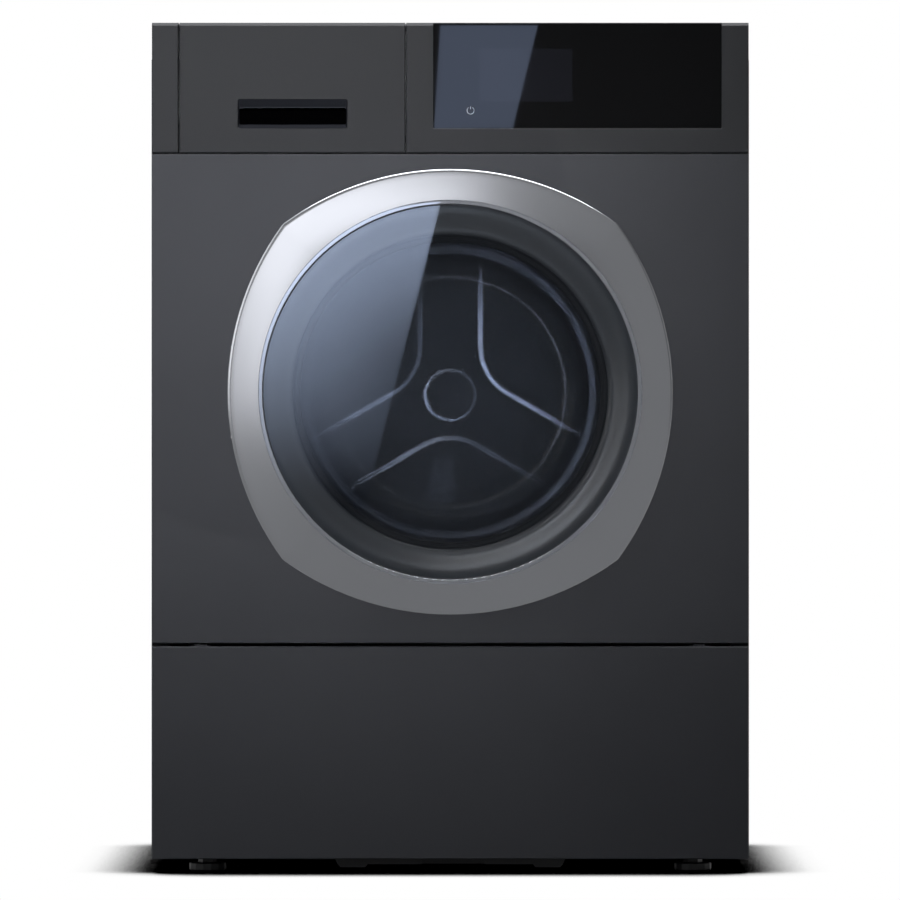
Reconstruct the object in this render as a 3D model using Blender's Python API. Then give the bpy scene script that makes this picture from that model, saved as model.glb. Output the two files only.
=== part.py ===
"""A front-loading washing machine, built as an assembly of separate pieces.

Units are metres, +Z is up and the front faces -Y. The origin lies on the floor, in the middle of the
object's width and depth. Inside the file a depth is measured back from the front panel's face, so that
whatever stands proud of that face has a negative depth.
"""

import math

import bmesh
import bpy
from mathutils import Vector

# Overall sizes
HEIGHT = 0.850
CABINET_WIDTH = 0.598
CABINET_DEPTH = 0.600
DOOR_PROUD = 0.042
SPIGOT_PROUD = 0.018

# Walls, gaps and cuts that many pieces share
SHEET = 0.0012
MOULDING = 0.0025
GAP = 0.0003
SEAM = 0.0010
EASE = 0.0006
OVERRUN = 0.010
WELD = 0.00001
EDGE = 0.0010

# The row of front pieces
FRONT_REVEAL = 0.001
FRONT_DEPTH = 0.020
BODY_BOTTOM = 0.0146
FLAP_HEIGHT = 0.2124
FLAP_SEAM = 0.0033
FASCIA_HEIGHT = 0.130
WORKTOP_THICKNESS = 0.036
WORKTOP_WALL = 0.003
WORKTOP_EDGE = 0.0025
WORKTOP_BRIDGE = 0.0075
CORNER_R = 0.004
TOP_CHAMFER = 0.003

# Side and rear sheets
SIDE_LIP = 0.018
REAR_INSET = 0.002
SERVICE_HALF_WIDTH = 0.175
SERVICE_LOW = 0.120
SERVICE_HEIGHT = 0.545
SERVICE_CORNER = 0.030
COVER_LAP = 0.014
COVER_RISE = 0.008
COVER_RIM = 0.012
COVER_SLOPE = 0.010

# Drum axis
DRUM_Z = 0.481

# Door mouth and the front panel's edge round it
MOUTH_R = 0.168
MOUTH_ROUND = 0.004
MOUTH_FLANGE = 0.012

# Door ring: four large arcs that meet at rounded corners on the diagonals
RING_OVERLAP = 0.023
RING_WIDTH = 0.0303
RING_BULGE = 0.060
RING_CORNER_R = 0.012
RING_LIP = 0.004
RING_EDGE = 0.0355
RING_BACK = 0.0140
RING_WALL = 0.0025
RING_ARC_STEPS = 8
RING_CORNER_STEPS = 2
CROWN_SHARES = ((0.0, 1.0), (0.35, 0.80), (0.72, 0.54), (0.95, 0.36))
HINGE_NOTCH_HALF = 0.040
HINGE_NOTCH_PROUD = 0.0300
GRIP_NOTCH_HALF = 0.062
GRIP_NOTCH_PROUD = 0.0240
NOTCH_DEPTH = 0.010

# The panes and frames inside the ring
PANE_THICKNESS = 0.0030
PANE_SUNK = 0.0035
DISH_LAP = 0.0102
DISH_BOTTOM = 0.0120
DISH_RIM = 0.0054
DISH_SHARES = ((0.0, 0.0), (0.25, 0.14), (0.60, 0.58), (0.88, 0.93), (1.0, 1.0))
BACK_FRAME_PROUD = 0.0025
BACK_FRAME_WALL = 0.0024
BACK_FRAME_ROOM = 0.0052
BOWL_ROOM = 0.022
BOWL_FLANGE = 0.022
BOWL_DEPTH = 0.095
BOWL_WALL = 0.004
BOWL_TAPER = 0.022
BOWL_SHARES = (
    (0.0, 1.0),
    (0.45, 1.0),
    (0.93, 0.98),
    (1.0, 0.93),
    (1.04, 0.84),
    (1.13, 0.42),
    (1.165, 0.21),
)
DOOR_STEPS = 32

# Hinge and latch
HINGE_INSET = 0.0068
HINGE_PROUD = 0.020
PIN_R = 0.003
LUG_HALF = 0.0045
LUG_NEAR = 0.0285
LUG_FAR = 0.0325
LUG_PLATE_HALF = 0.046
LUG_PLATE_REACH = 0.0155
LUG_PLATE = 0.002
KNUCKLE_R = 0.005
KNUCKLE_HALF = 0.0280
ARM_HALF = 0.0025
HOOK_OUTSET = 0.010
HOOK_SHANK = 0.005
HOOK_BARB = 0.005
HOOK_REACH = 0.016
HOOK_BARB_LENGTH = 0.006
HOOK_HALF = 0.006
HOOK_FOOT = 0.007
HOOK_FOOT_THICKNESS = 0.0014
SLOT_BEFORE = 0.0035
SLOT_AFTER = 0.0045
SLOT_HALF = 0.010
LOCK_WIDTH = 0.040
LOCK_HALF = 0.045
LOCK_DEPTH = 0.038
LOCK_POCKET = 0.024
LOCK_CLEAR = 0.0025

# Gasket, between the mouth and the tub
GASKET_WALL = 0.0025
GASKET_LIP = 0.0165
GASKET_FOLD = 0.0090
GASKET_TAIL = 0.013
GASKET_SEAT = 0.0009
GASKET_CLAMP = 0.0006
GASKET_TURN = 0.005

# Tub
TUB_ROOM = 0.018
TUB_WALL = 0.004
TUB_FRONT = 0.058
TUB_COLLAR_INSET = 0.010
TUB_COLLAR_LENGTH = 0.018
TUB_SPLIT = 0.150
TUB_REAR_ROOM = 0.050
TUB_FLANGE = 0.006
TUB_CHAMFER = 0.004
TUB_HUB_R = 0.040
TUB_HUB_LENGTH = 0.036
TUB_STEPS = 24

# Drum
DRUM_R = 0.240
DRUM_FRONT_ROOM = 0.008
DRUM_LENGTH = 0.354
DRUM_MOUTH_INSET = 0.018
DRUM_LIP = 0.016
DRUM_RIM = 0.012
DRUM_STEPS = 30
STAR_ARMS = 3
STAR_ARM_HALF = 0.0277
STAR_CORNER_R = 0.060
PAD_MARGIN = 0.028
PAD_CORNER_R = 0.022
PAD_SLOPE = 0.010
PAD_RISE = 0.012
BOSS_R = 0.0297
BOSS_SLOPE = 0.004
BOSS_RISE = 0.008
LIFTER_COUNT = 3
LIFTER_FOOT_HALF = 0.034
LIFTER_TOP_HALF = 0.012
LIFTER_HEIGHT = 0.052
LIFTER_SHARES = ((0, 1.0), (0.72, 0.45), (1, 0))
LIFTER_END_GAP = 0.020
LIFTER_SLOPE = 0.030
LIFTER_CORNER = 0.010

# Spider, shaft and belt drive
SPIDER_ARM_NEAR = 0.022
SPIDER_ARM_FAR = 0.012
SPIDER_NEAR_R = 0.050
SPIDER_MARGIN = 0.018
SPIDER_DEPTH = 0.020
SPIDER_HUB_R = 0.045
SPIDER_HUB_DEPTH = 0.035
SHAFT_R = 0.015
SHAFT_PLAY = 0.0006
SHAFT_STEPS = 16
PULLEY_R = 0.140
PULLEY_ROOM = 0.0065
PULLEY_WIDTH = 0.018
PULLEY_RIM = 0.012
PULLEY_WEB = 0.004
PULLEY_HUB_R = 0.028
PULLEY_STEPS = 24
MOTOR_DROP = 0.336
MOTOR_R = 0.058
MOTOR_LENGTH = 0.135
MOTOR_ROOM = 0.0075
MOTOR_BELL = 0.018
MOTOR_LUG_HALF = 0.045
MOTOR_LUG_LENGTH = 0.090
MOTOR_BORE_DEPTH = 0.030
MOTOR_PULLEY_R = 0.0125
MOTOR_SHAFT_R = 0.005
SMALL_STEPS = 12
BELT_THICKNESS = 0.0030
BELT_MARGIN = 0.0022
BELT_STEPS = 24

# Weights and heater
WEIGHT_COLLAR_ROOM = 0.020
WEIGHT_RIM_ROOM = 0.016
WEIGHT_DEPTH = 0.030
WEIGHT_STEPS = 10
UPPER_WEIGHT_HALF_DEG = 50
LOWER_WEIGHT_HALF_DEG = 60
HEATER_R = 0.004
HEATER_ROOM = 0.0107
HEATER_HALF = 0.020
HEATER_NEAR = 0.130

# Springs, dampers and hoses
SPRING_INSET = 0.013
SPRING_DEPTH = 0.308
SPRING_R = 0.012
SPRING_WIRE_R = 0.0020
SPRING_TURNS = 7
SPRING_TURN_POINTS = 6
SPRING_STRAIGHT = 0.010
SPRING_LENGTH = 0.161
HANGER_THICKNESS = 0.005
HANGER_HALF = 0.020
SPRING_LUG_RISE = 0.154
TUB_LUG_HALF = 0.012
TUB_LUG_ROOT = 0.001
DAMPER_X = 0.150
DAMPER_DEPTH = 0.300
DAMPER_R = 0.018
DAMPER_BORE_R = 0.0125
DAMPER_ROD_R = 0.0115
DAMPER_TOP = 0.130
DAMPER_FLOOR = 0.014
DAMPER_ROD_LOW = 0.060
DAMPER_LUG_DROP = 0.246
HOSE_X = 0.140
HOSE_DEPTH = 0.090
HOSE_R = 0.022
HOSE_RIB = 0.003
HOSE_WALL = 0.002
HOSE_RIBS = 5
SUMP_DROP = 0.236
PUMP_SPIGOT_TOP = 0.150
FILL_INSET = 0.053
FILL_DEPTH = 0.170
FILL_R = 0.018
FILL_SPIGOT = 0.010
FILL_LUG_RISE = 0.189
FILL_RIBS = 4

# Detergent drawer and its housing
END_CAP_WIDTH = 0.027
DRAWER_WIDTH = 0.2265
WINDOW_RISE = 0.0242
RECESS_INSET = 0.0586
RECESS_WIDTH = 0.1098
RECESS_HEIGHT = 0.0296
RECESS_UPPER_SLOPE = 0.0076
RECESS_LOWER_SLOPE = 0.0040
RECESS_SIDE_SLOPE = 0.0012
RECESS_NECK = 0.009
RECESS_DEPTH = 0.017
RECESS_CORNER = 0.0020
TRAY_INSET_LEFT = 0.0130
TRAY_INSET_RIGHT = 0.0135
TRAY_HEIGHT = 0.056
TRAY_LAP = 0.0058
TRAY_LENGTH = 0.225
TRAY_WALL = 0.0025
TRAY_CORNER = 0.008
TRAY_ROOM = 0.002
COMPARTMENT_SHARES = (0.0, 0.42, 0.70, 1.0)
HOUSING_LAP = 0.0155
HOUSING_TOP_LAP = 0.0052
HOUSING_HEADROOM = 0.012
RUNNER_HALF = 0.0015
RUNNER_INSET = 0.020
SIPHON_THICKNESS = 0.002
SIPHON_LENGTH = 0.085
SIPHON_TUBE_R = 0.007
SIPHON_CORNER = 0.004
SIPHON_LAP_LEFT = 0.0006
SIPHON_LAP_RIGHT = 0.0012
SIPHON_FLOOR_GAP = 0.0025

# Control panel
GLASS_INSET = 0.027
GLASS_WIDTH = 0.288
GLASS_DROP = 0.001
GLASS_CORNER = 0.0010
MODULE_LAP = 0.003
MODULE_DEPTH = 0.0137
MODULE_DROP = 0.005

# Base, feet and skid
BASE_FRONT = 0.0245
BASE_WALL = 0.003
BASE_HIGH = 0.055
BASE_LIFT = 0.0010
APRON_FRONT = 0.0240
APRON_DROP = 0.001
APRON_ROOM = 0.0015
FOOT_INSET = 0.0553
FOOT_SETBACK = 0.050
FOOT_R = 0.0185
FOOT_CHAMFER = 0.0022
FOOT_PAD = 0.0093
FOOT_NUT_FLATS = 0.0165
FOOT_STEM_R = 0.005
FOOT_STEM_TOP = 0.046
FOOT_BOSS_R = 0.018
FOOT_BOSS_TOP = 0.052
FOOT_STEPS = 14
SKID_DEPTH = 0.030
SKID_LENGTH = 0.045
SKID_BAR_HALF = 0.079
SKID_BAR_LOW = 0.008
SKID_LUG_LOW = 0.005
SKID_LUG_IN = 0.084
SKID_LUG_OUT = 0.110
SKID_LUG_TOP = 0.116
SKID_ROUND = 0.0025
SKID_SLOT_LEFT = -0.029
SKID_SLOT_RIGHT = 0.035
SKID_SLOT_HIGH = 0.0120
SKID_SLOT_DEPTH = 0.012

# Service flap
FLAP_HEEL = 0.0155
FLAP_PIN_DEPTH = 0.010
FLAP_PIN_RISE = 0.008
FLAP_PIN_R = 0.0025
FLAP_PIN_PLAY = 0.0004
FLAP_LIP = 0.0075
FLAP_EAR_INSET = 0.036
FLAP_EAR_HALF = 0.0025
FLAP_EAR_R = 0.0050
FLAP_EAR_ARM = 0.003
FLAP_GUSSET = 0.0025
FLAP_GUSSET_GAP = 0.0008
FLAP_GUSSET_BACK = 0.003
FLAP_GUSSET_LOW = 0.004
FLAP_GUSSET_HIGH = 0.012
FLAP_TAB_INSET = 0.049
FLAP_TAB_HALF = 0.006
FLAP_TAB_RISE = 0.0022
FLAP_TAB_SETBACK = 0.004
FLAP_TAB_THICKNESS = 0.003

# Pump, filter and pipes
PUMP_X = 0.170
PUMP_Z = 0.095
NECK_R = 0.036
NECK_BORE_R = 0.031
NECK_FRONT = 0.0235
NECK_BORE_DEPTH = 0.050
PUMP_R = 0.042
PUMP_FRONT = 0.060
PUMP_REAR = 0.120
PUMP_MOTOR_R = 0.030
PUMP_MOTOR_REAR = 0.185
CAP_R = 0.0355
CAP_THICKNESS = 0.0032
CAP_PLUG_R = 0.0300
CAP_PLUG = 0.028
CAP_GRIP = 0.0034
CAP_GRIP_HALF = 0.027
CAP_GRIP_WIDTH_HALF = 0.0055
CAP_GRIP_ROOT = 0.0008
VALVE_ROOM = 0.045
CONNECTION_DROP = 0.075
VALVE_PIPE_R = 0.009
VALVE_BODY_LENGTH = 0.100
VALVE_BODY_R = 0.020
SPIGOT_R = 0.0132
SPIGOT_BORE_R = 0.0095
SPIGOT_BORE = 0.020
COIL_HALF = 0.014
COIL_LENGTH = 0.040
COIL_HEIGHT = 0.037
MAINS_X = 0.200
GLAND_NECK_R = 0.0100
GLAND_COLLAR_R = 0.0140
GLAND_BORE_R = 0.0045
GLAND_COLLAR = 0.006
GLAND_NUT = 0.008
HOLE_PLAY = 0.0007
DRAIN_R = 0.010
DRAIN_POINTS = 24
DRAIN_INSET = 0.033
DRAIN_DROP = 0.158
DRAIN_SIDE_ROOM = 0.027
DRAIN_REAR_ROOM = 0.048
DRAIN_BEND = 0.048
DRAIN_LEAD = 0.022
DRAIN_DRIFT = 0.004
DRAIN_FLOOR_Z = 0.092
DRAIN_CLIMB_Z = 0.120

# Steps and angles
CORNER_STEPS = 3
HEXAGON = 6
QUARTERS = 4
SHARP_ANGLE = math.radians(35)
BEVEL_ANGLE = math.radians(40)
FULL_TURN = 2 * math.pi
HALF_TURN = math.pi
QUARTER_TURN = math.pi / 2
THIRD_TURN = FULL_TURN / STAR_ARMS

# Planes worked out from the sizes above
FRONT_Y = DOOR_PROUD - (DOOR_PROUD + CABINET_DEPTH + SPIGOT_PROUD) / 2
SIDE_X = CABINET_WIDTH / 2
FRONT_X = SIDE_X - FRONT_REVEAL
FLAP_TOP = BODY_BOTTOM + FLAP_HEIGHT
PANEL_LOW = FLAP_TOP + FLAP_SEAM
PANEL_HIGH = HEIGHT - FASCIA_HEIGHT - SEAM
FASCIA_LOW = HEIGHT - FASCIA_HEIGHT
WORKTOP_LOW = HEIGHT - WORKTOP_THICKNESS
SIDE_TOP = WORKTOP_LOW - GAP
BEHIND_FRONT = FRONT_DEPTH + GAP
SERVICE_HIGH = SERVICE_LOW + SERVICE_HEIGHT
WORKTOP_NOTCH_HALF = SIDE_X - SIDE_LIP
PANE_BACK = DOOR_PROUD - PANE_SUNK - PANE_THICKNESS

# The door's circles all follow from its mouth
RING_INNER_R = MOUTH_R + RING_OVERLAP
RING_HALF = RING_INNER_R + RING_WIDTH
RING_ARC_R = RING_HALF + RING_BULGE
BACK_FRAME_R = RING_INNER_R + BACK_FRAME_WALL
BOWL_R = MOUTH_R - BOWL_ROOM
BOWL_FLANGE_R = BOWL_R + BOWL_FLANGE
BOWL_END_R = BOWL_R - BOWL_TAPER
BACK_FRAME_INNER_R = BOWL_R + BACK_FRAME_ROOM
DISH_INNER_R = BOWL_R + DISH_LAP
HINGE_X = HINGE_INSET - RING_HALF
LUG_PLATE_INNER_X = HINGE_X + LUG_PLATE_REACH
HOOK_X = MOUTH_R + HOOK_OUTSET
GASKET_LIP_R = MOUTH_R - GASKET_LIP
GASKET_FOLD_R = MOUTH_R - GASKET_FOLD

# The tub is built round the drum, and the drive behind the tub
DRUM_FRONT = TUB_FRONT + DRUM_FRONT_ROOM
DRUM_REAR = DRUM_FRONT + DRUM_LENGTH
DRUM_MOUTH_R = MOUTH_R - DRUM_MOUTH_INSET
PAD_R = DRUM_R - PAD_MARGIN
SPIDER_FAR_R = DRUM_R - SPIDER_MARGIN
TUB_INNER_R = DRUM_R + TUB_ROOM
TUB_COLLAR_R = MOUTH_R - TUB_COLLAR_INSET
TUB_REAR = DRUM_REAR + TUB_REAR_ROOM
WEIGHT_INNER_R = TUB_COLLAR_R + WEIGHT_COLLAR_ROOM
WEIGHT_OUTER_R = TUB_INNER_R - WEIGHT_RIM_ROOM
HEATER_DROP = DRUM_R + HEATER_ROOM
PULLEY_FRONT = TUB_REAR + TUB_HUB_LENGTH + PULLEY_ROOM
MOTOR_Z = DRUM_Z - MOTOR_DROP
MOTOR_REAR = PULLEY_FRONT - MOTOR_ROOM
MOTOR_FRONT = MOTOR_REAR - MOTOR_LENGTH
SPRING_X = TUB_INNER_R - SPRING_INSET
LUG_TOP = DRUM_Z + SPRING_LUG_RISE
HANGER_Z = LUG_TOP + SPRING_LENGTH
DAMPER_LUG_LOW = DRUM_Z - DAMPER_LUG_DROP
SUMP_LOW = DRUM_Z - SUMP_DROP
FILL_X = FILL_INSET - TUB_INNER_R
FILL_LUG_TOP = DRUM_Z + FILL_LUG_RISE

# The row above the door, from its left end to its right
DRAWER_LEFT = END_CAP_WIDTH - FRONT_X
DRAWER_RIGHT = DRAWER_LEFT + DRAWER_WIDTH
RECESS_LEFT = DRAWER_LEFT + RECESS_INSET
RECESS_RIGHT = RECESS_LEFT + RECESS_WIDTH
RECESS_LOW = FASCIA_LOW + WINDOW_RISE
RECESS_HIGH = RECESS_LOW + RECESS_HEIGHT
TRAY_LEFT = DRAWER_LEFT + TRAY_INSET_LEFT
TRAY_RIGHT = DRAWER_RIGHT - TRAY_INSET_RIGHT
TRAY_LOW = RECESS_HIGH - TRAY_LAP
TRAY_HIGH = TRAY_LOW + TRAY_HEIGHT
HOUSING_HIGH = TRAY_HIGH + HOUSING_HEADROOM
GLASS_RIGHT = FRONT_X - GLASS_INSET
GLASS_LEFT = GLASS_RIGHT - GLASS_WIDTH
GLASS_LOW = FASCIA_LOW + WINDOW_RISE
GLASS_HIGH = HEIGHT - GLASS_DROP
MODULE_HIGH = GLASS_HIGH - MODULE_DROP

# The base and what is fastened to the rear panel
APRON_HIGH = FLAP_TOP - APRON_DROP
APRON_HALF = SIDE_X - SIDE_LIP - APRON_ROOM
FOOT_X = SIDE_X - FOOT_INSET
FLAP_EAR_X = FRONT_X - FLAP_EAR_INSET
FLAP_TAB_X = FRONT_X - FLAP_TAB_INSET
CONNECTION_Z = HEIGHT - CONNECTION_DROP
VALVE_X = VALVE_ROOM - SPRING_X
VALVE_BODY_FRONT = CABINET_DEPTH - VALVE_BODY_LENGTH
DRAIN_END_X = SIDE_X - DRAIN_INSET
DRAIN_END_Z = HEIGHT - DRAIN_DROP

ORIGIN = Vector((0, 0, 0))
Y_AXIS = Vector((0, 1, 0))
Z_AXIS = Vector((0, 0, 1))
CABINET_AT = Vector((0, FRONT_Y, 0))
AXIS_AT = Vector((0, FRONT_Y, DRUM_Z))


# Looks


def surface(name, colour, roughness, metallic=0.0, alpha=1.0):
    """A Principled material, made once and shared."""
    look = bpy.data.materials.get(name)
    if look:
        return look
    look = bpy.data.materials.new(name)
    look.use_nodes = True
    shader = look.node_tree.nodes["Principled BSDF"]
    shader.inputs["Base Color"].default_value = (*colour, 1.0)
    shader.inputs["Roughness"].default_value = roughness
    shader.inputs["Metallic"].default_value = metallic
    shader.inputs["Alpha"].default_value = alpha
    look.diffuse_color = (*colour, alpha)
    return look


def graphite_paint():
    return surface("graphite_paint", (0.060, 0.061, 0.068), 0.42, 0.30)


def graphite_moulding():
    return surface("graphite_moulding", (0.060, 0.061, 0.068), 0.45, 0.20)


def satin_silver():
    return surface("satin_silver", (0.62, 0.63, 0.66), 0.28, 0.95)


def dark_plastic():
    return surface("dark_plastic", (0.030, 0.031, 0.035), 0.50)


def grey_plastic():
    return surface("grey_plastic", (0.28, 0.29, 0.30), 0.55)


def white_plastic():
    return surface("white_plastic", (0.72, 0.73, 0.74), 0.50)


def black_glass():
    return surface("black_glass", (0.008, 0.008, 0.010), 0.06)


def clear_glass():
    return surface("clear_glass", (0.70, 0.76, 0.80), 0.03, 0.0, 0.25)


def seal_rubber():
    return surface("seal_rubber", (0.045, 0.047, 0.052), 0.65)


def drum_steel():
    return surface("drum_steel", (0.56, 0.57, 0.60), 0.30, 1.0)


def zinc_steel():
    return surface("zinc_steel", (0.48, 0.49, 0.50), 0.45, 0.90)


def cast_metal():
    return surface("cast_metal", (0.12, 0.12, 0.13), 0.75, 0.40)


def cast_aluminium():
    return surface("cast_aluminium", (0.55, 0.56, 0.58), 0.50, 0.90)


# Flat outlines


def arc(centre, radius, start, end, steps):
    """Points along an arc, both ends included."""
    turns = [start + (end - start) * step / steps for step in range(steps + 1)]
    return [(centre[0] + radius * math.cos(t), centre[1] + radius * math.sin(t)) for t in turns]


def circle(radius, steps, centre=(0, 0)):
    return arc(centre, radius, 0, FULL_TURN, steps)[:-1]


def rounded(left, right, low, high, radius, steps=CORNER_STEPS):
    """A rectangle with round corners, counted anticlockwise from its lower right."""
    corners = (
        (right - radius, low + radius, -QUARTER_TURN),
        (right - radius, high - radius, 0),
        (left + radius, high - radius, QUARTER_TURN),
        (left + radius, low + radius, HALF_TURN),
    )
    outline = []
    for x, z, start in corners:
        outline += arc((x, z), radius, start, start + QUARTER_TURN, steps)
    return outline


def rectangle(left, right, low, high):
    return [(left, low), (right, low), (right, high), (left, high)]


def offset_path(path, wall):
    """The path moved to its left by a wall, with mitred corners."""
    moved = []
    for i, point in enumerate(path):
        here = Vector(point)
        ways = []
        if i > 0:
            ways.append((here - Vector(path[i - 1])).normalized())
        if i < len(path) - 1:
            ways.append((Vector(path[i + 1]) - here).normalized())
        normals = [Vector((-way.y, way.x)) for way in ways]
        bisector = sum(normals, Vector((0, 0))).normalized()
        moved.append(tuple(here + bisector * wall / bisector.dot(normals[0])))
    return moved


def walled_path(path, wall):
    """The closed outline of a wall of even thickness on the left of the path."""
    return list(path) + offset_path(path, wall)[::-1]


def turned_about(outline, angle):
    """The outline turned about the zero point."""
    cos, sin = math.cos(angle), math.sin(angle)
    return [(x * cos - z * sin, x * sin + z * cos) for x, z in outline]


def lay(outline, level, axis):
    """Places an outline in space, square to an axis."""
    if axis == "X":
        return [(level, a, b) for a, b in outline]
    if axis == "Y":
        return [(a, level, b) for a, b in outline]
    return [(a, b, level) for a, b in outline]


def smooth_route(points, count):
    """A smooth curve through the route's points, read at even steps."""
    route = [Vector(p) for p in points]
    route = [route[0] * 2 - route[1]] + route + [route[-1] * 2 - route[-2]]
    spans = len(route) - 3
    curve = []
    for step in range(count + 1):
        along = spans * step / count
        i = min(int(along), spans - 1)
        t = along - i
        a, b, c, d = route[i : i + 4]
        eased = t**2 * (3 - 2 * t)
        leaving, arriving = (c - a) / 2 * t * (1 - t) ** 2, (d - b) / 2 * t**2 * (1 - t)
        curve.append(b.lerp(c, eased) + leaving - arriving)
    return curve


# Meshes


def ring(bm, points):
    """A closed loop of edges through the points."""
    corners = [bm.verts.new(point) for point in points]
    for pair in zip(corners, corners[1:] + corners[:1]):
        bm.edges.new(pair)
    return corners


def bridge(bm, first, second):
    """Quads between two loops that have as many corners each."""
    for i in range(len(first)):
        j = (i + 1) % len(first)
        bm.faces.new((first[i], first[j], second[j], second[i]))


def fill(bm, *loops):
    """Closes the flat space between an outer loop and the loops inside it."""
    edges = [bm.edges.get(pair) for loop in loops for pair in zip(loop, loop[1:] + loop[:1])]
    bmesh.ops.triangle_fill(bm, use_beauty=True, edges=edges)


def prism(outline, start, end, axis, holes=()):
    """A flat outline, with its holes, drawn out from one level to another."""
    bm = bmesh.new()
    near = [ring(bm, lay(loop, start, axis)) for loop in (outline, *holes)]
    far = [ring(bm, lay(loop, end, axis)) for loop in (outline, *holes)]
    fill(bm, *near)
    fill(bm, *far)
    for first, second in zip(near, far):
        bridge(bm, first, second)
    return bm


def block(low, high):
    """A rectangular block between two opposite corners."""
    return prism(rectangle(low[0], high[0], low[2], high[2]), low[1], high[1], "Y")


def loft(loops):
    """A solid skin through a row of loops, closed at both ends."""
    bm = bmesh.new()
    rings = [ring(bm, loop) for loop in loops]
    for first, second in zip(rings, rings[1:]):
        bridge(bm, first, second)
    fill(bm, rings[0])
    fill(bm, rings[-1])
    return bm


def turned(profile, steps, closed=True):
    """A profile of (radius, depth) points turned round the Y axis. An open one ends on the axis."""
    bm = bmesh.new()
    points = [bm.verts.new((radius, depth, 0)) for radius, depth in profile]
    after = points[1:] + points[:1] if closed else points[1:]
    edges = [bm.edges.new(pair) for pair in zip(points, after)]
    bmesh.ops.spin(
        bm, geom=points + edges, cent=ORIGIN, axis=Y_AXIS, angle=FULL_TURN, steps=steps, use_merge=True
    )
    bmesh.ops.remove_doubles(bm, verts=bm.verts, dist=WELD)
    return bm


def stood_up(bm):
    """Turns a shape made round the Y axis, so that its depths become heights."""
    turn = Y_AXIS.rotation_difference(Z_AXIS).to_matrix().to_4x4()
    bmesh.ops.transform(bm, matrix=turn, verts=bm.verts)
    return bm


# Objects


def world_place(item):
    place = Vector((0, 0, 0))
    while item:
        place += item.location
        item = item.parent
    return place


def pivot(name, at, carrier=None):
    """An empty on a joint's axis, which carries the pieces that move there."""
    empty = bpy.data.objects.new(name, None)
    bpy.context.scene.collection.objects.link(empty)
    empty.parent = carrier
    empty.location = Vector(at) - world_place(carrier)
    return empty


def linked(name, data, at, carrier):
    piece = bpy.data.objects.new(name, data)
    bpy.context.scene.collection.objects.link(piece)
    piece.parent = carrier
    piece.location = Vector(at) - world_place(carrier)
    return piece


def finished_mesh(name, bm, look):
    mesh = bpy.data.meshes.new(name)
    bm.to_mesh(mesh)
    bm.free()
    mesh.shade_smooth()
    mesh.set_sharp_from_angle(angle=SHARP_ANGLE)
    mesh.materials.append(look)
    return mesh


def solid(name, bm, look, at=CABINET_AT, carrier=None):
    """An object made of a closed mesh."""
    bmesh.ops.recalc_face_normals(bm, faces=bm.faces)
    return linked(name, finished_mesh(name, bm, look), at, carrier)


def sheet(name, bm, outward, wall, look, at=CABINET_AT, carrier=None):
    """An object made of an open skin, given a wall on the side away from the outward direction."""
    bmesh.ops.recalc_face_normals(bm, faces=bm.faces)
    widest = max(bm.faces, key=lambda face: face.calc_area() * abs(face.normal.dot(Vector(outward))))
    if widest.normal.dot(Vector(outward)) < 0:
        bmesh.ops.reverse_faces(bm, faces=bm.faces)
    piece = linked(name, finished_mesh(name, bm, look), at, carrier)
    thickness = piece.modifiers.new("wall", "SOLIDIFY")
    thickness.thickness = wall
    thickness.offset = -1.0
    thickness.use_even_offset = True
    return piece


def tube(name, points, radius, look, at=CABINET_AT, carrier=None, resolution=2):
    """A round bar along the points."""
    curve = bpy.data.curves.new(name, "CURVE")
    curve.dimensions = "3D"
    curve.bevel_depth = radius
    curve.bevel_resolution = resolution
    curve.use_fill_caps = True
    spline = curve.splines.new("POLY")
    spline.points.add(len(points) - 1)
    for knot, point in zip(spline.points, points):
        knot.co = (*point, 1.0)
    curve.materials.append(look)
    return linked(name, curve, at, carrier)


def softened(piece, width, segments=1):
    """Bevels the piece's sharp edges."""
    bevel = piece.modifiers.new("edges", "BEVEL")
    bevel.width = width
    bevel.segments = segments
    bevel.limit_method = "ANGLE"
    bevel.angle_limit = BEVEL_ANGLE
    return piece


def combine(piece, bm, operation):
    """Joins a helper shape to the piece, or cuts it out, in the piece's own space."""
    helper = solid(f"{piece.name}_{operation.lower()}_{len(piece.modifiers)}", bm, dark_plastic(), ORIGIN)
    helper.parent = piece
    helper.location = (0, 0, 0)
    helper.hide_render = True
    helper.display_type = "WIRE"
    step = piece.modifiers.new(helper.name, "BOOLEAN")
    step.solver = "EXACT"
    step.operation = operation
    step.object = helper
    return piece


def cut(piece, bm):
    return combine(piece, bm, "DIFFERENCE")


def join(piece, bm):
    return combine(piece, bm, "UNION")


# Cabinet


def side_panel(name, side):
    """A folded sheet with a lip at the front and the rear, and a tab inside that a spring hangs from."""
    front, rear = BEHIND_FRONT, CABINET_DEPTH - SHEET - GAP
    lip_x = SIDE_X - SIDE_LIP
    path = [(lip_x, front), (SIDE_X, front), (SIDE_X, rear), (lip_x, rear)]
    section = [(side * x, depth) for x, depth in walled_path(path, SHEET)]
    panel = solid(name, prism(section, BODY_BOTTOM, SIDE_TOP, "Z"), graphite_paint())
    ends = sorted((side * (SPRING_X - HANGER_HALF), side * (SIDE_X - SHEET / 2)))
    tab = block(
        (ends[0], SPRING_DEPTH - HANGER_HALF, HANGER_Z),
        (ends[1], SPRING_DEPTH + HANGER_HALF, HANGER_Z + HANGER_THICKNESS),
    )
    return join(panel, tab)


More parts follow.
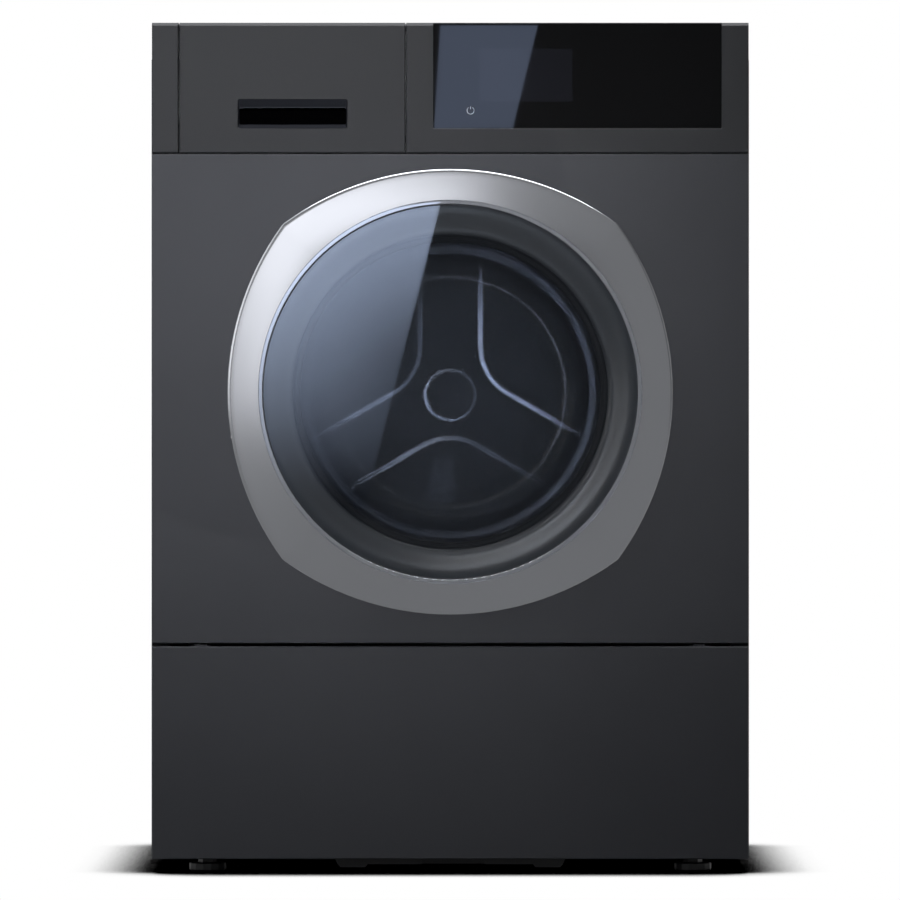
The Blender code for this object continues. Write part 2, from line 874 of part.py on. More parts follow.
def rear_panel():
    """A flat sheet with the service opening and the holes that the pipe ends and the gland pass through."""
    edge_x = SIDE_X - REAR_INSET
    holes = [
        rounded(-SERVICE_HALF_WIDTH, SERVICE_HALF_WIDTH, SERVICE_LOW, SERVICE_HIGH, SERVICE_CORNER),
        circle(SPIGOT_R + HOLE_PLAY, SMALL_STEPS, (VALVE_X, CONNECTION_Z)),
        circle(GLAND_NECK_R + HOLE_PLAY, SMALL_STEPS, (MAINS_X, CONNECTION_Z)),
        circle(DRAIN_R + HOLE_PLAY, SMALL_STEPS, (DRAIN_END_X, DRAIN_END_Z)),
    ]
    outline = rectangle(-edge_x, edge_x, BODY_BOTTOM, SIDE_TOP)
    bm = prism(outline, CABINET_DEPTH - SHEET, CABINET_DEPTH, "Y", holes)
    return solid("rear_panel", bm, zinc_steel())


def rear_service_cover():
    """A pressed sheet whose field stands out from its rim."""
    bm = bmesh.new()
    face = CABINET_DEPTH + GAP + SHEET
    levels = (
        (-COVER_LAP, face),
        (COVER_RIM - COVER_LAP, face),
        (COVER_RIM + COVER_SLOPE - COVER_LAP, face + COVER_RISE),
    )
    rings = []
    for inset, depth in levels:
        half = SERVICE_HALF_WIDTH - inset
        outline = rounded(-half, half, SERVICE_LOW + inset, SERVICE_HIGH - inset, SERVICE_CORNER - inset)
        rings.append(ring(bm, lay(outline, depth, "Y")))
    fill(bm, rings[0], rings[1])
    bridge(bm, rings[1], rings[2])
    fill(bm, rings[2])
    return sheet("rear_service_cover", bm, (0, 1, 0), SHEET, zinc_steel())


def worktop():
    """A tray turned upside down on the side panels, cut away for the works behind the fascia."""
    bm = bmesh.new()
    rings = []
    for inset, z in ((WORKTOP_EDGE, HEIGHT), (0, HEIGHT - WORKTOP_EDGE), (0, WORKTOP_LOW)):
        outline = rounded(
            inset - FRONT_X,
            FRONT_X - inset,
            BEHIND_FRONT + inset,
            CABINET_DEPTH - inset,
            CORNER_R + WORKTOP_EDGE,
        )
        rings.append(ring(bm, lay(outline, z, "Z")))
    fill(bm, rings[0])
    bridge(bm, rings[0], rings[1])
    bridge(bm, rings[1], rings[2])
    top = sheet("worktop", bm, (0, 0, 1), WORKTOP_WALL, graphite_moulding())
    notch = block(
        (-WORKTOP_NOTCH_HALF, BEHIND_FRONT - OVERRUN, WORKTOP_LOW - OVERRUN),
        (WORKTOP_NOTCH_HALF, BEHIND_FRONT + OVERRUN, HEIGHT - WORKTOP_BRIDGE),
    )
    return cut(top, notch)


def front_skin(bm, left, right, low, high, wall, top_edge=EDGE, openings=()):
    """A front piece's closed wall: face, small bevels and folded sides, open at the rear.

    Each opening is a pair of loops, one in the face and one in the face's rear side.
    """
    face_loops = [face_loop for face_loop, _ in openings]
    rear_loops = [rear_loop for _, rear_loop in openings]
    e, f, g, h = ring(bm, lay(rectangle(left + EDGE, right - EDGE, low + EDGE, high - top_edge), 0, "Y"))
    p, q, r, s = ring(bm, lay(rectangle(left, right, low, high), FRONT_DEPTH, "Y"))
    fill(bm, [e, f, g, h], *face_loops)
    # the top edge may be wider than the others, so that each side edge ends below it
    turn_z = high - top_edge + EDGE
    shoulder = (
        (left, EDGE, low),
        (right, EDGE, low),
        (right, EDGE, turn_z),
        (right, top_edge, high),
        (left, top_edge, high),
        (left, EDGE, turn_z),
    )
    a, b, c, d, k, m = [bm.verts.new(place) for place in shoulder]
    edges = ((e, f, b, a), (f, g, c, b), (g, c, d, k, m, h), (h, e, a, m))
    sides = ((a, b, q, p), (b, c, d, r, q), (d, k, s, r), (k, m, a, p, s))
    for corners in edges + sides:
        bm.faces.new(corners)
    bmesh.ops.remove_doubles(bm, verts=[c, d, k, m], dist=WELD)
    inside = rectangle(left + wall, right - wall, low + wall, high - wall)
    inner_rim = ring(bm, lay(inside, FRONT_DEPTH, "Y"))
    inner_face = ring(bm, lay(inside, wall, "Y"))
    bridge(bm, [p, q, r, s], inner_rim)
    bridge(bm, inner_rim, inner_face)
    fill(bm, inner_face, *rear_loops)
    return bm


def sleeve(bm, loops):
    """The wall of an opening through a row of loops, from the face to the face's rear side."""
    rings = [ring(bm, loop) for loop in loops]
    for first, second in zip(rings, rings[1:]):
        bridge(bm, first, second)
    return rings[0], rings[-1]


def front_panel():
    """The large front sheet, folded back all round, with the door mouth and the latch slot."""
    bm = bmesh.new()
    turn = QUARTER_TURN / 2
    mouth = [
        (MOUTH_R + MOUTH_ROUND + EDGE, 0),
        (MOUTH_R + MOUTH_ROUND, 0),
        (MOUTH_R + MOUTH_ROUND * (1 - math.sin(turn)), MOUTH_ROUND * (1 - math.cos(turn))),
        (MOUTH_R, MOUTH_ROUND),
        (MOUTH_R, MOUTH_FLANGE),
    ]
    levels = walled_path(mouth, -SHEET)
    collar = sleeve(bm, [lay(circle(r, DOOR_STEPS, (0, DRUM_Z)), depth, "Y") for r, depth in levels])
    slot = sleeve(bm, [lay(latch_slot(), depth, "Y") for depth in (0, SHEET)])
    front_skin(bm, -FRONT_X, FRONT_X, PANEL_LOW, PANEL_HIGH, SHEET, openings=(collar, slot))
    return solid("front_panel", bm, graphite_paint())


def latch_slot():
    left = HOOK_X - SLOT_BEFORE
    right = HOOK_X + HOOK_SHANK + HOOK_BARB + SLOT_AFTER
    return rectangle(left, right, DRUM_Z - SLOT_HALF, DRUM_Z + SLOT_HALF)


def fascia_end_cap():
    right = DRAWER_LEFT - SEAM / 2
    bm = front_skin(bmesh.new(), -FRONT_X, right, FASCIA_LOW, HEIGHT, MOULDING, TOP_CHAMFER)
    return solid("fascia_end_cap", bm, graphite_moulding())


def control_fascia():
    """The moulding round the control glass, with a window for it that is open at the top."""
    left = DRAWER_RIGHT + SEAM / 2
    bm = front_skin(bmesh.new(), left, FRONT_X, FASCIA_LOW, HEIGHT, MOULDING, TOP_CHAMFER)
    fascia = solid("control_fascia", bm, graphite_moulding())
    window = block(
        (GLASS_LEFT - GAP, -OVERRUN, GLASS_LOW - GAP),
        (GLASS_RIGHT + GAP, MOULDING + GAP, HEIGHT + OVERRUN),
    )
    return cut(fascia, window)


def control_glass():
    outline = rounded(GLASS_LEFT, GLASS_RIGHT, GLASS_LOW, GLASS_HIGH, GLASS_CORNER, 1)
    return solid("control_glass", prism(outline, 0, MOULDING, "Y"), black_glass())


def display_module():
    """The carrier behind the glass, which laps the window's edges and holds the display and its board."""
    front = MOULDING + GAP
    left, right = GLASS_LEFT - MODULE_LAP, GLASS_RIGHT + MODULE_LAP
    outline = rounded(left, right, GLASS_LOW - MODULE_LAP, MODULE_HIGH, CORNER_R)
    module = solid("display_module", prism(outline, front, front + MODULE_DEPTH, "Y"), dark_plastic())
    return softened(module, EDGE)


# Base, feet, skid and flap


def base_frame():
    """A moulded tray with a tall front apron, foot bosses and the ears that the flap hinges on."""
    bm = bmesh.new()
    half = SIDE_X - SHEET - GAP
    rear = CABINET_DEPTH - SHEET * 2 - GAP * 2
    outline = rounded(-half, half, BASE_FRONT, rear, CORNER_R)
    floor = ring(bm, lay(outline, BODY_BOTTOM, "Z"))
    rim = ring(bm, lay(outline, BASE_HIGH, "Z"))
    fill(bm, floor)
    bridge(bm, floor, rim)
    base = sheet("base_frame", bm, (0, 0, -1), BASE_WALL, dark_plastic())
    neck_hole = circle(NECK_R + EASE, SHAFT_STEPS, (PUMP_X, PUMP_Z))
    apron = rectangle(-APRON_HALF, APRON_HALF, BODY_BOTTOM + BASE_LIFT, APRON_HIGH)
    join(base, prism(apron, APRON_FRONT, APRON_FRONT + BASE_WALL, "Y", [neck_hole]))
    for x, depth in foot_places():
        post = circle(FOOT_BOSS_R, SMALL_STEPS, (x, depth))
        boss = prism(post, BODY_BOTTOM + BASE_LIFT, FOOT_BOSS_TOP, "Z")
        join(base, boss)
        bore = circle(FOOT_STEM_R + EASE, SMALL_STEPS, (x, depth))
        cut(base, prism(bore, -OVERRUN, FOOT_BOSS_TOP + OVERRUN, "Z"))
    for side in (-1, 1):
        x = side * FLAP_EAR_X
        join(base, prism(flap_ear(), x - FLAP_EAR_HALF, x + FLAP_EAR_HALF, "X"))
        hole = circle(FLAP_PIN_R + FLAP_PIN_PLAY, SMALL_STEPS, flap_pin_place())
        cut(base, prism(hole, x - FLAP_EAR_HALF - OVERRUN, x + FLAP_EAR_HALF + OVERRUN, "X"))
    return base


def foot_places():
    depths = (FOOT_SETBACK, CABINET_DEPTH - FOOT_SETBACK)
    return [(side * FOOT_X, depth) for depth in depths for side in (-1, 1)]


def flap_pin_place():
    return (FLAP_PIN_DEPTH, BODY_BOTTOM + FLAP_PIN_RISE)


def flap_ear():
    """The outline, seen from the side, of an arm that ends in an eye round the flap's pin."""
    depth, z = flap_pin_place()
    root = APRON_FRONT + BASE_WALL / 2
    spread = math.asin(FLAP_EAR_ARM / FLAP_EAR_R)
    eye = arc((depth, z), FLAP_EAR_R, spread, FULL_TURN - spread, SMALL_STEPS)
    return eye + [(root, z - FLAP_EAR_ARM), (root, z + FLAP_EAR_ARM)]


def foot(name, place, carrier):
    """A round pad with a hexagon to turn it by and a threaded stem."""
    x, depth = place
    profile = [
        (0, 0),
        (FOOT_R - FOOT_CHAMFER, 0),
        (FOOT_R, FOOT_CHAMFER),
        (FOOT_R, FOOT_PAD - FOOT_CHAMFER / 2),
        (FOOT_R - FOOT_CHAMFER / 2, FOOT_PAD),
        (FOOT_STEM_R, FOOT_PAD),
        (FOOT_STEM_R, FOOT_STEM_TOP),
        (0, FOOT_STEM_TOP),
    ]
    at = (x, FRONT_Y + depth, 0)
    piece = solid(name, stood_up(turned(profile, FOOT_STEPS, closed=False)), dark_plastic(), at, carrier)
    corner_r = FOOT_NUT_FLATS / 2 / math.cos(FULL_TURN / HEXAGON / 2)
    nut = prism(circle(corner_r, HEXAGON), FOOT_PAD - FOOT_CHAMFER / 2, BODY_BOTTOM - GAP, "Z")
    return join(piece, nut)


def base_skid():
    """The low bar under the front, with a blunt lug at each end and a slot in its middle."""
    top = BODY_BOTTOM - GAP
    half = [
        (SKID_BAR_HALF, SKID_BAR_LOW),
        (SKID_LUG_IN - SKID_ROUND / 2, SKID_BAR_LOW),
        (SKID_LUG_IN + SKID_ROUND / 2, SKID_LUG_LOW),
        (SKID_LUG_OUT, SKID_LUG_LOW),
        (SKID_LUG_OUT + SKID_ROUND, SKID_LUG_LOW + SKID_ROUND),
        (SKID_LUG_TOP, top),
    ]
    outline = half + [(-x, z) for x, z in half[::-1]]
    skid = solid("base_skid", prism(outline, SKID_DEPTH, SKID_DEPTH + SKID_LENGTH, "Y"), dark_plastic())
    slot = block(
        (SKID_SLOT_LEFT, SKID_DEPTH - OVERRUN, -OVERRUN),
        (SKID_SLOT_RIGHT, SKID_DEPTH + SKID_SLOT_DEPTH, SKID_SLOT_HIGH),
    )
    return cut(skid, slot)


def service_flap(carrier):
    """The lower front, with pins inside its foot to fold down on and a snap tab at each top corner."""
    bm = front_skin(bmesh.new(), -FRONT_X, FRONT_X, BODY_BOTTOM, FLAP_TOP, MOULDING)
    flap = solid("service_flap", bm, graphite_moulding(), CABINET_AT, carrier)
    foot_room = block(
        (MOULDING + EASE - FRONT_X, FLAP_LIP, BODY_BOTTOM - OVERRUN),
        (FRONT_X - MOULDING - EASE, FRONT_DEPTH + OVERRUN, BODY_BOTTOM + MOULDING + EASE),
    )
    cut(flap, foot_room)
    pin_depth, pin_z = flap_pin_place()
    # the sides are set back below the pin, where they swing towards the cabinet
    heel_room = block(
        (-FRONT_X - OVERRUN, FLAP_HEEL, BODY_BOTTOM - OVERRUN),
        (FRONT_X + OVERRUN, FRONT_DEPTH + OVERRUN, pin_z),
    )
    cut(flap, heel_room)
    gusset = rectangle(
        MOULDING / 2, pin_depth + FLAP_GUSSET_BACK, pin_z - FLAP_GUSSET_LOW, pin_z + FLAP_GUSSET_HIGH
    )
    near = FLAP_EAR_HALF + FLAP_GUSSET_GAP
    far = near + FLAP_GUSSET
    for side in (-1, 1):
        x = side * FLAP_EAR_X
        for start, end in ((x - far, x - near), (x + near, x + far)):
            join(flap, prism(gusset, start, end, "X"))
        pin = circle(FLAP_PIN_R, SMALL_STEPS, (pin_depth, pin_z))
        join(flap, prism(pin, x - near - FLAP_GUSSET / 2, x + near + FLAP_GUSSET / 2, "X"))
        tab_x = side * FLAP_TAB_X
        tab = block(
            (tab_x - FLAP_TAB_HALF, FLAP_TAB_SETBACK, FLAP_TOP - MOULDING / 2),
            (tab_x + FLAP_TAB_HALF, FLAP_TAB_SETBACK + FLAP_TAB_THICKNESS, FLAP_TOP + FLAP_TAB_RISE),
        )
        join(flap, tab)
    return flap


# Detergent drawer


def recess_outline(drawn_in, grown):
    """The finger recess at its mouth or, drawn in, at its depth, grown by a wall on the rear side."""
    return rounded(
        RECESS_LEFT + RECESS_SIDE_SLOPE * drawn_in - grown,
        RECESS_RIGHT - RECESS_SIDE_SLOPE * drawn_in + grown,
        RECESS_LOW + RECESS_LOWER_SLOPE * drawn_in - grown,
        RECESS_HIGH - RECESS_UPPER_SLOPE * drawn_in + grown,
        RECESS_CORNER + grown,
        2,
    )


def drawer_front(carrier):
    """The drawer's face, with a finger recess behind a sloped lip."""
    bm = bmesh.new()
    loops = []
    for grown, levels in (
        (0, ((0, 0), (RECESS_NECK, 1), (RECESS_DEPTH, 1))),
        (MOULDING, ((MOULDING, 0), (RECESS_NECK, 1), (RECESS_DEPTH + MOULDING, 1))),
    ):
        rings = [ring(bm, lay(recess_outline(drawn_in, grown), depth, "Y")) for depth, drawn_in in levels]
        for first, second in zip(rings, rings[1:]):
            bridge(bm, first, second)
        fill(bm, rings[-1])
        loops.append(rings[0])
    left, right = DRAWER_LEFT + SEAM / 2, DRAWER_RIGHT - SEAM / 2
    front_skin(bm, left, right, FASCIA_LOW, HEIGHT, MOULDING, TOP_CHAMFER, openings=(loops,))
    return solid("drawer_front", bm, graphite_moulding(), CABINET_AT, carrier)


def tray_front():
    return RECESS_DEPTH + MOULDING + GAP


def compartment(number):
    """The left and right sides of one compartment, counted from the left."""
    inner_left = TRAY_LEFT + TRAY_WALL
    inner_width = TRAY_RIGHT - TRAY_WALL - inner_left
    left = inner_left + inner_width * COMPARTMENT_SHARES[number]
    right = inner_left + inner_width * COMPARTMENT_SHARES[number + 1]
    if number > 0:
        left += TRAY_WALL / 2
    if number < len(COMPARTMENT_SHARES) - 2:
        right -= TRAY_WALL / 2
    return left, right


def drawer_tray(carrier):
    """An open tray with three compartments side by side."""
    front, rear = tray_front(), tray_front() + TRAY_LENGTH
    outline = rounded(TRAY_LEFT, TRAY_RIGHT, front, rear, TRAY_CORNER)
    bm = prism(outline, TRAY_LOW, TRAY_HIGH, "Z")
    tray = solid("drawer_tray", bm, white_plastic(), CABINET_AT, carrier)
    for number in range(len(COMPARTMENT_SHARES) - 1):
        left, right = compartment(number)
        pocket = rounded(left, right, front + TRAY_WALL, rear - TRAY_WALL, TRAY_CORNER - TRAY_WALL)
        cut(tray, prism(pocket, TRAY_LOW + TRAY_WALL, TRAY_HIGH + OVERRUN, "Z"))
    return tray


def siphon_cap(carrier):
    """The lid over the last compartment's rear, with the siphon's tube under it."""
    left, right = compartment(len(COMPARTMENT_SHARES) - 2)
    rear = tray_front() + TRAY_LENGTH
    low = TRAY_HIGH + GAP
    left, right = left - SIPHON_LAP_LEFT, right + SIPHON_LAP_RIGHT
    outline = rounded(left, right, rear - SIPHON_LENGTH, rear, SIPHON_CORNER)
    bm = prism(outline, low, low + SIPHON_THICKNESS, "Z")
    cap = solid("siphon_cap", bm, grey_plastic(), CABINET_AT, carrier)
    centre = ((left + right) / 2, rear - SIPHON_LENGTH / 2)
    tube_low = TRAY_LOW + TRAY_WALL + SIPHON_FLOOR_GAP
    return join(cap, prism(circle(SIPHON_TUBE_R, SMALL_STEPS, centre), tube_low, low + GAP, "Z"))


def dispenser_housing():
    """The box that the drawer runs in, with a front flange, two runners and the outlet to the fill hose."""
    left, right = TRAY_LEFT - TRAY_ROOM, TRAY_RIGHT + TRAY_ROOM
    low = TRAY_LOW - TRAY_ROOM - GAP
    front = BEHIND_FRONT
    rear = tray_front() + TRAY_LENGTH + TRAY_ROOM
    bm = bmesh.new()
    outline = rounded(left, right, low, HOUSING_HIGH, TRAY_ROOM)
    back = ring(bm, lay(outline, rear, "Y"))
    mouth = ring(bm, lay(outline, front, "Y"))
    bridge(bm, back, mouth)
    fill(bm, back)
    housing = sheet("dispenser_housing", bm, (0, -1, 0), MOULDING, grey_plastic())
    mouth = rounded(left, right, low, HOUSING_HIGH, TRAY_ROOM)
    flange_low, flange_high = low - HOUSING_LAP, HOUSING_HIGH + HOUSING_TOP_LAP
    flange = rectangle(left - HOUSING_LAP, right + HOUSING_LAP, flange_low, flange_high)
    join(housing, prism(flange, front, front + MOULDING, "Y", [mouth]))
    for x in (left + RUNNER_INSET, right - RUNNER_INSET):
        corner = (x - RUNNER_HALF, front + GAP, low - MOULDING / 2)
        join(housing, block(corner, (x + RUNNER_HALF, rear, TRAY_LOW - GAP)))
    wall_low = low - MOULDING
    spigot = circle(FILL_R, SMALL_STEPS, (FILL_X, FILL_DEPTH))
    join(housing, prism(spigot, wall_low - FILL_SPIGOT, low - GAP, "Z"))
    bore = circle(FILL_R - MOULDING, SMALL_STEPS, (FILL_X, FILL_DEPTH))
    return cut(housing, prism(bore, wall_low - FILL_SPIGOT - OVERRUN, low + GAP, "Z"))


# Door


def ring_outline():
    """Four large arcs joined by small ones at the diagonals, starting at the right."""
    reach = RING_ARC_R - RING_HALF
    inner = RING_ARC_R - RING_CORNER_R
    # the rounding's centre lies on the diagonal, at one distance from both neighbouring arcs' centres
    corner = (math.sqrt(2 * inner**2 - reach**2) - reach) / 2
    sweep = math.atan2(corner, corner + reach)
    outline = []
    for quarter in range(QUARTERS):
        side = arc((-reach, 0), RING_ARC_R, -sweep, sweep, RING_ARC_STEPS)
        rounding = arc((corner, corner), RING_CORNER_R, sweep, QUARTER_TURN - sweep, RING_CORNER_STEPS)
        outline += turned_about(side[:-1] + rounding[:-1], quarter * QUARTER_TURN)
    return outline


def ring_loop(outline, width_share, inset, proud):
    """A loop of the ring's section: a share of the way out to its outline, then moved in."""
    loop = []
    for x, z in outline:
        reach = math.hypot(x, z)
        radius = RING_INNER_R + (reach - RING_INNER_R) * width_share - inset
        loop.append((x / reach * radius, -proud, z / reach * radius))
    return loop


def door_ring(carrier):
    """The crowned outer ring: a channel open at the back, notched for the hinge and for the fingers."""
    outline = ring_outline()
    rise = DOOR_PROUD - RING_EDGE
    crown = [(share, RING_EDGE + rise * height_share) for share, height_share in CROWN_SHARES]
    section = [(0, RING_LIP, DOOR_PROUD - RING_WALL)]
    section += [(share, 0, proud) for share, proud in crown]
    section += [(1, 0, RING_EDGE), (1, 0, RING_BACK), (1, RING_WALL, RING_BACK)]
    section += [(share, RING_WALL * share, proud - RING_WALL) for share, proud in crown[:0:-1]]
    section += [(0, -BACK_FRAME_WALL - EASE, DOOR_PROUD - RING_WALL - EASE)]
    section += [(0, -BACK_FRAME_WALL - EASE, PANE_BACK), (0, RING_LIP, PANE_BACK)]
    bm = bmesh.new()
    loops = [ring(bm, ring_loop(outline, *place)) for place in section]
    for first, second in zip(loops, loops[1:] + loops[:1]):
        bridge(bm, first, second)
    door = solid("door_ring", bm, satin_silver(), AXIS_AT, carrier)
    hinge_notch = (-1, HINGE_NOTCH_HALF, HINGE_NOTCH_PROUD)
    grip_notch = (1, GRIP_NOTCH_HALF, GRIP_NOTCH_PROUD)
    for side, half, proud in (hinge_notch, grip_notch):
        ends = sorted((side * (RING_HALF - NOTCH_DEPTH), side * (RING_HALF + OVERRUN)))
        cut(door, block((ends[0], -proud, -half), (ends[1], OVERRUN, half)))
    return door


def cover_pane(carrier):
    outline = circle(RING_INNER_R - RING_LIP - EASE, DOOR_STEPS)
    front = PANE_BACK + PANE_THICKNESS
    pane = solid("cover_pane", prism(outline, -front, -PANE_BACK, "Y"), clear_glass(), AXIS_AT, carrier)
    return softened(pane, EDGE / 2)


def door_inner_frame(carrier):
    """The dark dish between the cover pane and the bowl."""
    outer = RING_INNER_R - EASE
    top = PANE_BACK - GAP
    slope_outer = outer - DISH_RIM
    path = [(outer, -top)]
    for width_share, drop_share in DISH_SHARES:
        radius = slope_outer + (DISH_INNER_R - slope_outer) * width_share
        path.append((radius, (top - DISH_BOTTOM) * drop_share - top))
    profile = walled_path(path[::-1], MOULDING)
    return solid("door_inner_frame", turned(profile, DOOR_STEPS), dark_plastic(), AXIS_AT, carrier)


def bowl_flange_front():
    return DISH_BOTTOM - MOULDING - GAP


def door_bowl(carrier):
    """The glass bowl, which reaches into the drum and hangs in the door by its flange."""
    flange_back = bowl_flange_front() - BOWL_WALL
    path = [(BOWL_END_R * r_share, BOWL_DEPTH * depth_share) for r_share, depth_share in BOWL_SHARES]
    path += [(BOWL_R, BOWL_WALL - flange_back), (BOWL_R + BOWL_WALL, -flange_back)]
    path.append((BOWL_FLANGE_R, -flange_back))
    profile = walled_path(path, -BOWL_WALL)
    return solid("door_bowl", turned(profile, DOOR_STEPS, closed=False), clear_glass(), AXIS_AT, carrier)


def door_back_frame(carrier):
    """The clamp ring behind the bowl's flange, with a rim that the outer ring clips over."""
    path = [
        (BACK_FRAME_INNER_R, -BACK_FRAME_PROUD),
        (BACK_FRAME_R - EASE, -BACK_FRAME_PROUD),
        (BACK_FRAME_R, -BACK_FRAME_PROUD - EASE),
        (BACK_FRAME_R, GAP - PANE_BACK),
    ]
    profile = walled_path(path, -BACK_FRAME_WALL)
    return solid("door_back_frame", turned(profile, DOOR_STEPS), dark_plastic(), AXIS_AT, carrier)


def hinge_bracket():
    """A plate on the front panel whose two lugs hold the hinge pin behind the ring's edge."""
    outline = rectangle(HINGE_X - LUG_HALF, LUG_PLATE_INNER_X, -LUG_PLATE_HALF, LUG_PLATE_HALF)
    bracket = solid("hinge_bracket", prism(outline, -GAP - LUG_PLATE, -GAP, "Y"), zinc_steel(), AXIS_AT)
    eye = arc((HINGE_X, -HINGE_PROUD), LUG_HALF, -HALF_TURN, 0, SMALL_STEPS // 2)
    lug = eye + [(HINGE_X + LUG_HALF, -GAP - LUG_PLATE / 2), (HINGE_X - LUG_HALF, -GAP - LUG_PLATE / 2)]
    for side in (-1, 1):
        low, high = sorted((side * LUG_NEAR, side * LUG_FAR))
        join(bracket, prism(lug, low, high, "Z"))
    pin = circle(PIN_R, SMALL_STEPS, (HINGE_X, -HINGE_PROUD))
    reach = LUG_FAR + LUG_PLATE / 2
    return join(bracket, prism(pin, -reach, reach, "Z"))


def hinge_arm(carrier):
    """A knuckle round the pin and the arm that joins it to the door's back frame."""
    spread = math.asin(ARM_HALF / KNUCKLE_R)
    centre = (HINGE_X, -HINGE_PROUD)
    end = -BACK_FRAME_R - GAP
    outline = arc(centre, KNUCKLE_R, spread, FULL_TURN - spread, SMALL_STEPS)
    outline += [(end, -HINGE_PROUD - ARM_HALF), (end, -HINGE_PROUD + ARM_HALF)]
    bore = circle(PIN_R + GAP * 2, SMALL_STEPS, centre)
    arm = prism(outline, -KNUCKLE_HALF, KNUCKLE_HALF, "Z", [bore])
    return solid("hinge_arm", arm, zinc_steel(), AXIS_AT, carrier)


def latch_hook(carrier):
    """The hook on the door's back that enters the lock."""
    foot_front = GAP - BACK_FRAME_PROUD
    foot_rear = foot_front + HOOK_FOOT_THICKNESS
    shank = HOOK_X + HOOK_SHANK
    outline = [
        (HOOK_X - HOOK_FOOT, foot_front),
        (shank + HOOK_FOOT, foot_front),
        (shank + HOOK_FOOT, foot_rear),
        (shank, foot_rear),
        (shank, HOOK_REACH - HOOK_BARB_LENGTH),
        (shank + HOOK_BARB, HOOK_REACH - HOOK_BARB_LENGTH),
        (shank + HOOK_BARB / 2, HOOK_REACH),
        (HOOK_X, HOOK_REACH),
        (HOOK_X, foot_rear),
        (HOOK_X - HOOK_FOOT, foot_rear),
    ]
    return solid("latch_hook", prism(outline, -HOOK_HALF, HOOK_HALF, "Z"), zinc_steel(), AXIS_AT, carrier)


def door_lock():
    """The lock's box behind the front panel, with the pocket that takes the hook."""
    left = HOOK_X - SLOT_BEFORE - LOCK_CLEAR
    outline = rounded(left, left + LOCK_WIDTH, -LOCK_HALF, LOCK_HALF, CORNER_R)
    front = SHEET + GAP
    lock = solid("door_lock", prism(outline, front, front + LOCK_DEPTH, "Y"), dark_plastic(), AXIS_AT)
    right = HOOK_X + HOOK_SHANK + HOOK_BARB + SLOT_AFTER
    pocket = block((HOOK_X - SLOT_BEFORE, -OVERRUN, -SLOT_HALF), (right, LOCK_POCKET, SLOT_HALF))
    return cut(lock, pocket)


def door_gasket():
    """The rubber bellows between the front panel's mouth and the tub's collar."""
    bead_r = MOUTH_R - GASKET_WALL / 2 - GASKET_SEAT
    tail_r = TUB_COLLAR_R + TUB_WALL + GASKET_CLAMP + GASKET_WALL / 2
    collar_front = TUB_FRONT - TUB_COLLAR_LENGTH
    centre = [
        (GASKET_LIP_R, GASKET_TAIL),
        (GASKET_LIP_R + GASKET_WALL, MOUTH_ROUND / 2),
        (bead_r - GASKET_WALL, 0),
        (bead_r, GASKET_WALL),
        (bead_r, MOUTH_FLANGE),
        (GASKET_FOLD_R, MOUTH_FLANGE + GASKET_TURN),
        (GASKET_FOLD_R, MOUTH_FLANGE + GASKET_TURN * 2),
        (tail_r, collar_front - GASKET_TURN),
        (tail_r, collar_front + GASKET_TAIL),
    ]
    path = offset_path(centre, -GASKET_WALL / 2)
    return solid("door_gasket", turned(walled_path(path, GASKET_WALL), TUB_STEPS), seal_rubber(), AXIS_AT)


# Tub and what rides on it


def tub_front(carrier):
    """The tub's front half: collar, end wall, short barrel and joint flange."""
    path = [
        (TUB_COLLAR_R, TUB_FRONT - TUB_COLLAR_LENGTH),
        (TUB_COLLAR_R, TUB_FRONT),
        (TUB_INNER_R - TUB_CHAMFER, TUB_FRONT),
        (TUB_INNER_R, TUB_FRONT + TUB_CHAMFER),
        (TUB_INNER_R, TUB_SPLIT - GAP),
    ]
    outer = offset_path(path, -TUB_WALL)
    outer_r = TUB_INNER_R + TUB_WALL
    flange = [(outer_r + TUB_FLANGE, TUB_SPLIT - GAP), (outer_r + TUB_FLANGE, TUB_SPLIT - TUB_WALL - GAP)]
    profile = path + flange + [(outer_r, TUB_SPLIT - TUB_WALL - GAP)] + outer[-2::-1]
    tub = solid("tub_front", turned(profile, TUB_STEPS), grey_plastic(), AXIS_AT, carrier)
    return join(tub, lug_on_tub(HOSE_X, HOSE_DEPTH, SUMP_LOW, HOSE_R))


def tub_rear(carrier):
    """The tub's rear half, with the bearing hub and lugs for springs, dampers, fill hose and sump hose."""
    outer_r = TUB_INNER_R + TUB_WALL
    bore_r = SHAFT_R + SHAFT_PLAY
    profile = [
        (TUB_INNER_R, TUB_SPLIT),
        (TUB_INNER_R, TUB_REAR - TUB_CHAMFER),
        (TUB_INNER_R - TUB_CHAMFER, TUB_REAR),
        (bore_r, TUB_REAR),
        (bore_r, TUB_REAR + TUB_HUB_LENGTH),
        (TUB_HUB_R, TUB_REAR + TUB_HUB_LENGTH),
        (TUB_HUB_R + TUB_WALL, TUB_REAR + TUB_WALL),
        (outer_r - TUB_CHAMFER, TUB_REAR + TUB_WALL),
        (outer_r, TUB_REAR - TUB_WALL),
        (outer_r, TUB_SPLIT + TUB_WALL),
        (outer_r + TUB_FLANGE, TUB_SPLIT + TUB_WALL),
        (outer_r + TUB_FLANGE, TUB_SPLIT),
    ]
    tub = solid("tub_rear", turned(profile, TUB_STEPS), grey_plastic(), AXIS_AT, carrier)
    for side in (-1, 1):
        join(tub, lug_on_tub(side * SPRING_X, SPRING_DEPTH, LUG_TOP, TUB_LUG_HALF))
        join(tub, lug_on_tub(side * DAMPER_X, DAMPER_DEPTH, DAMPER_LUG_LOW, TUB_LUG_HALF))
    return join(tub, lug_on_tub(FILL_X, FILL_DEPTH, FILL_LUG_TOP, FILL_R))


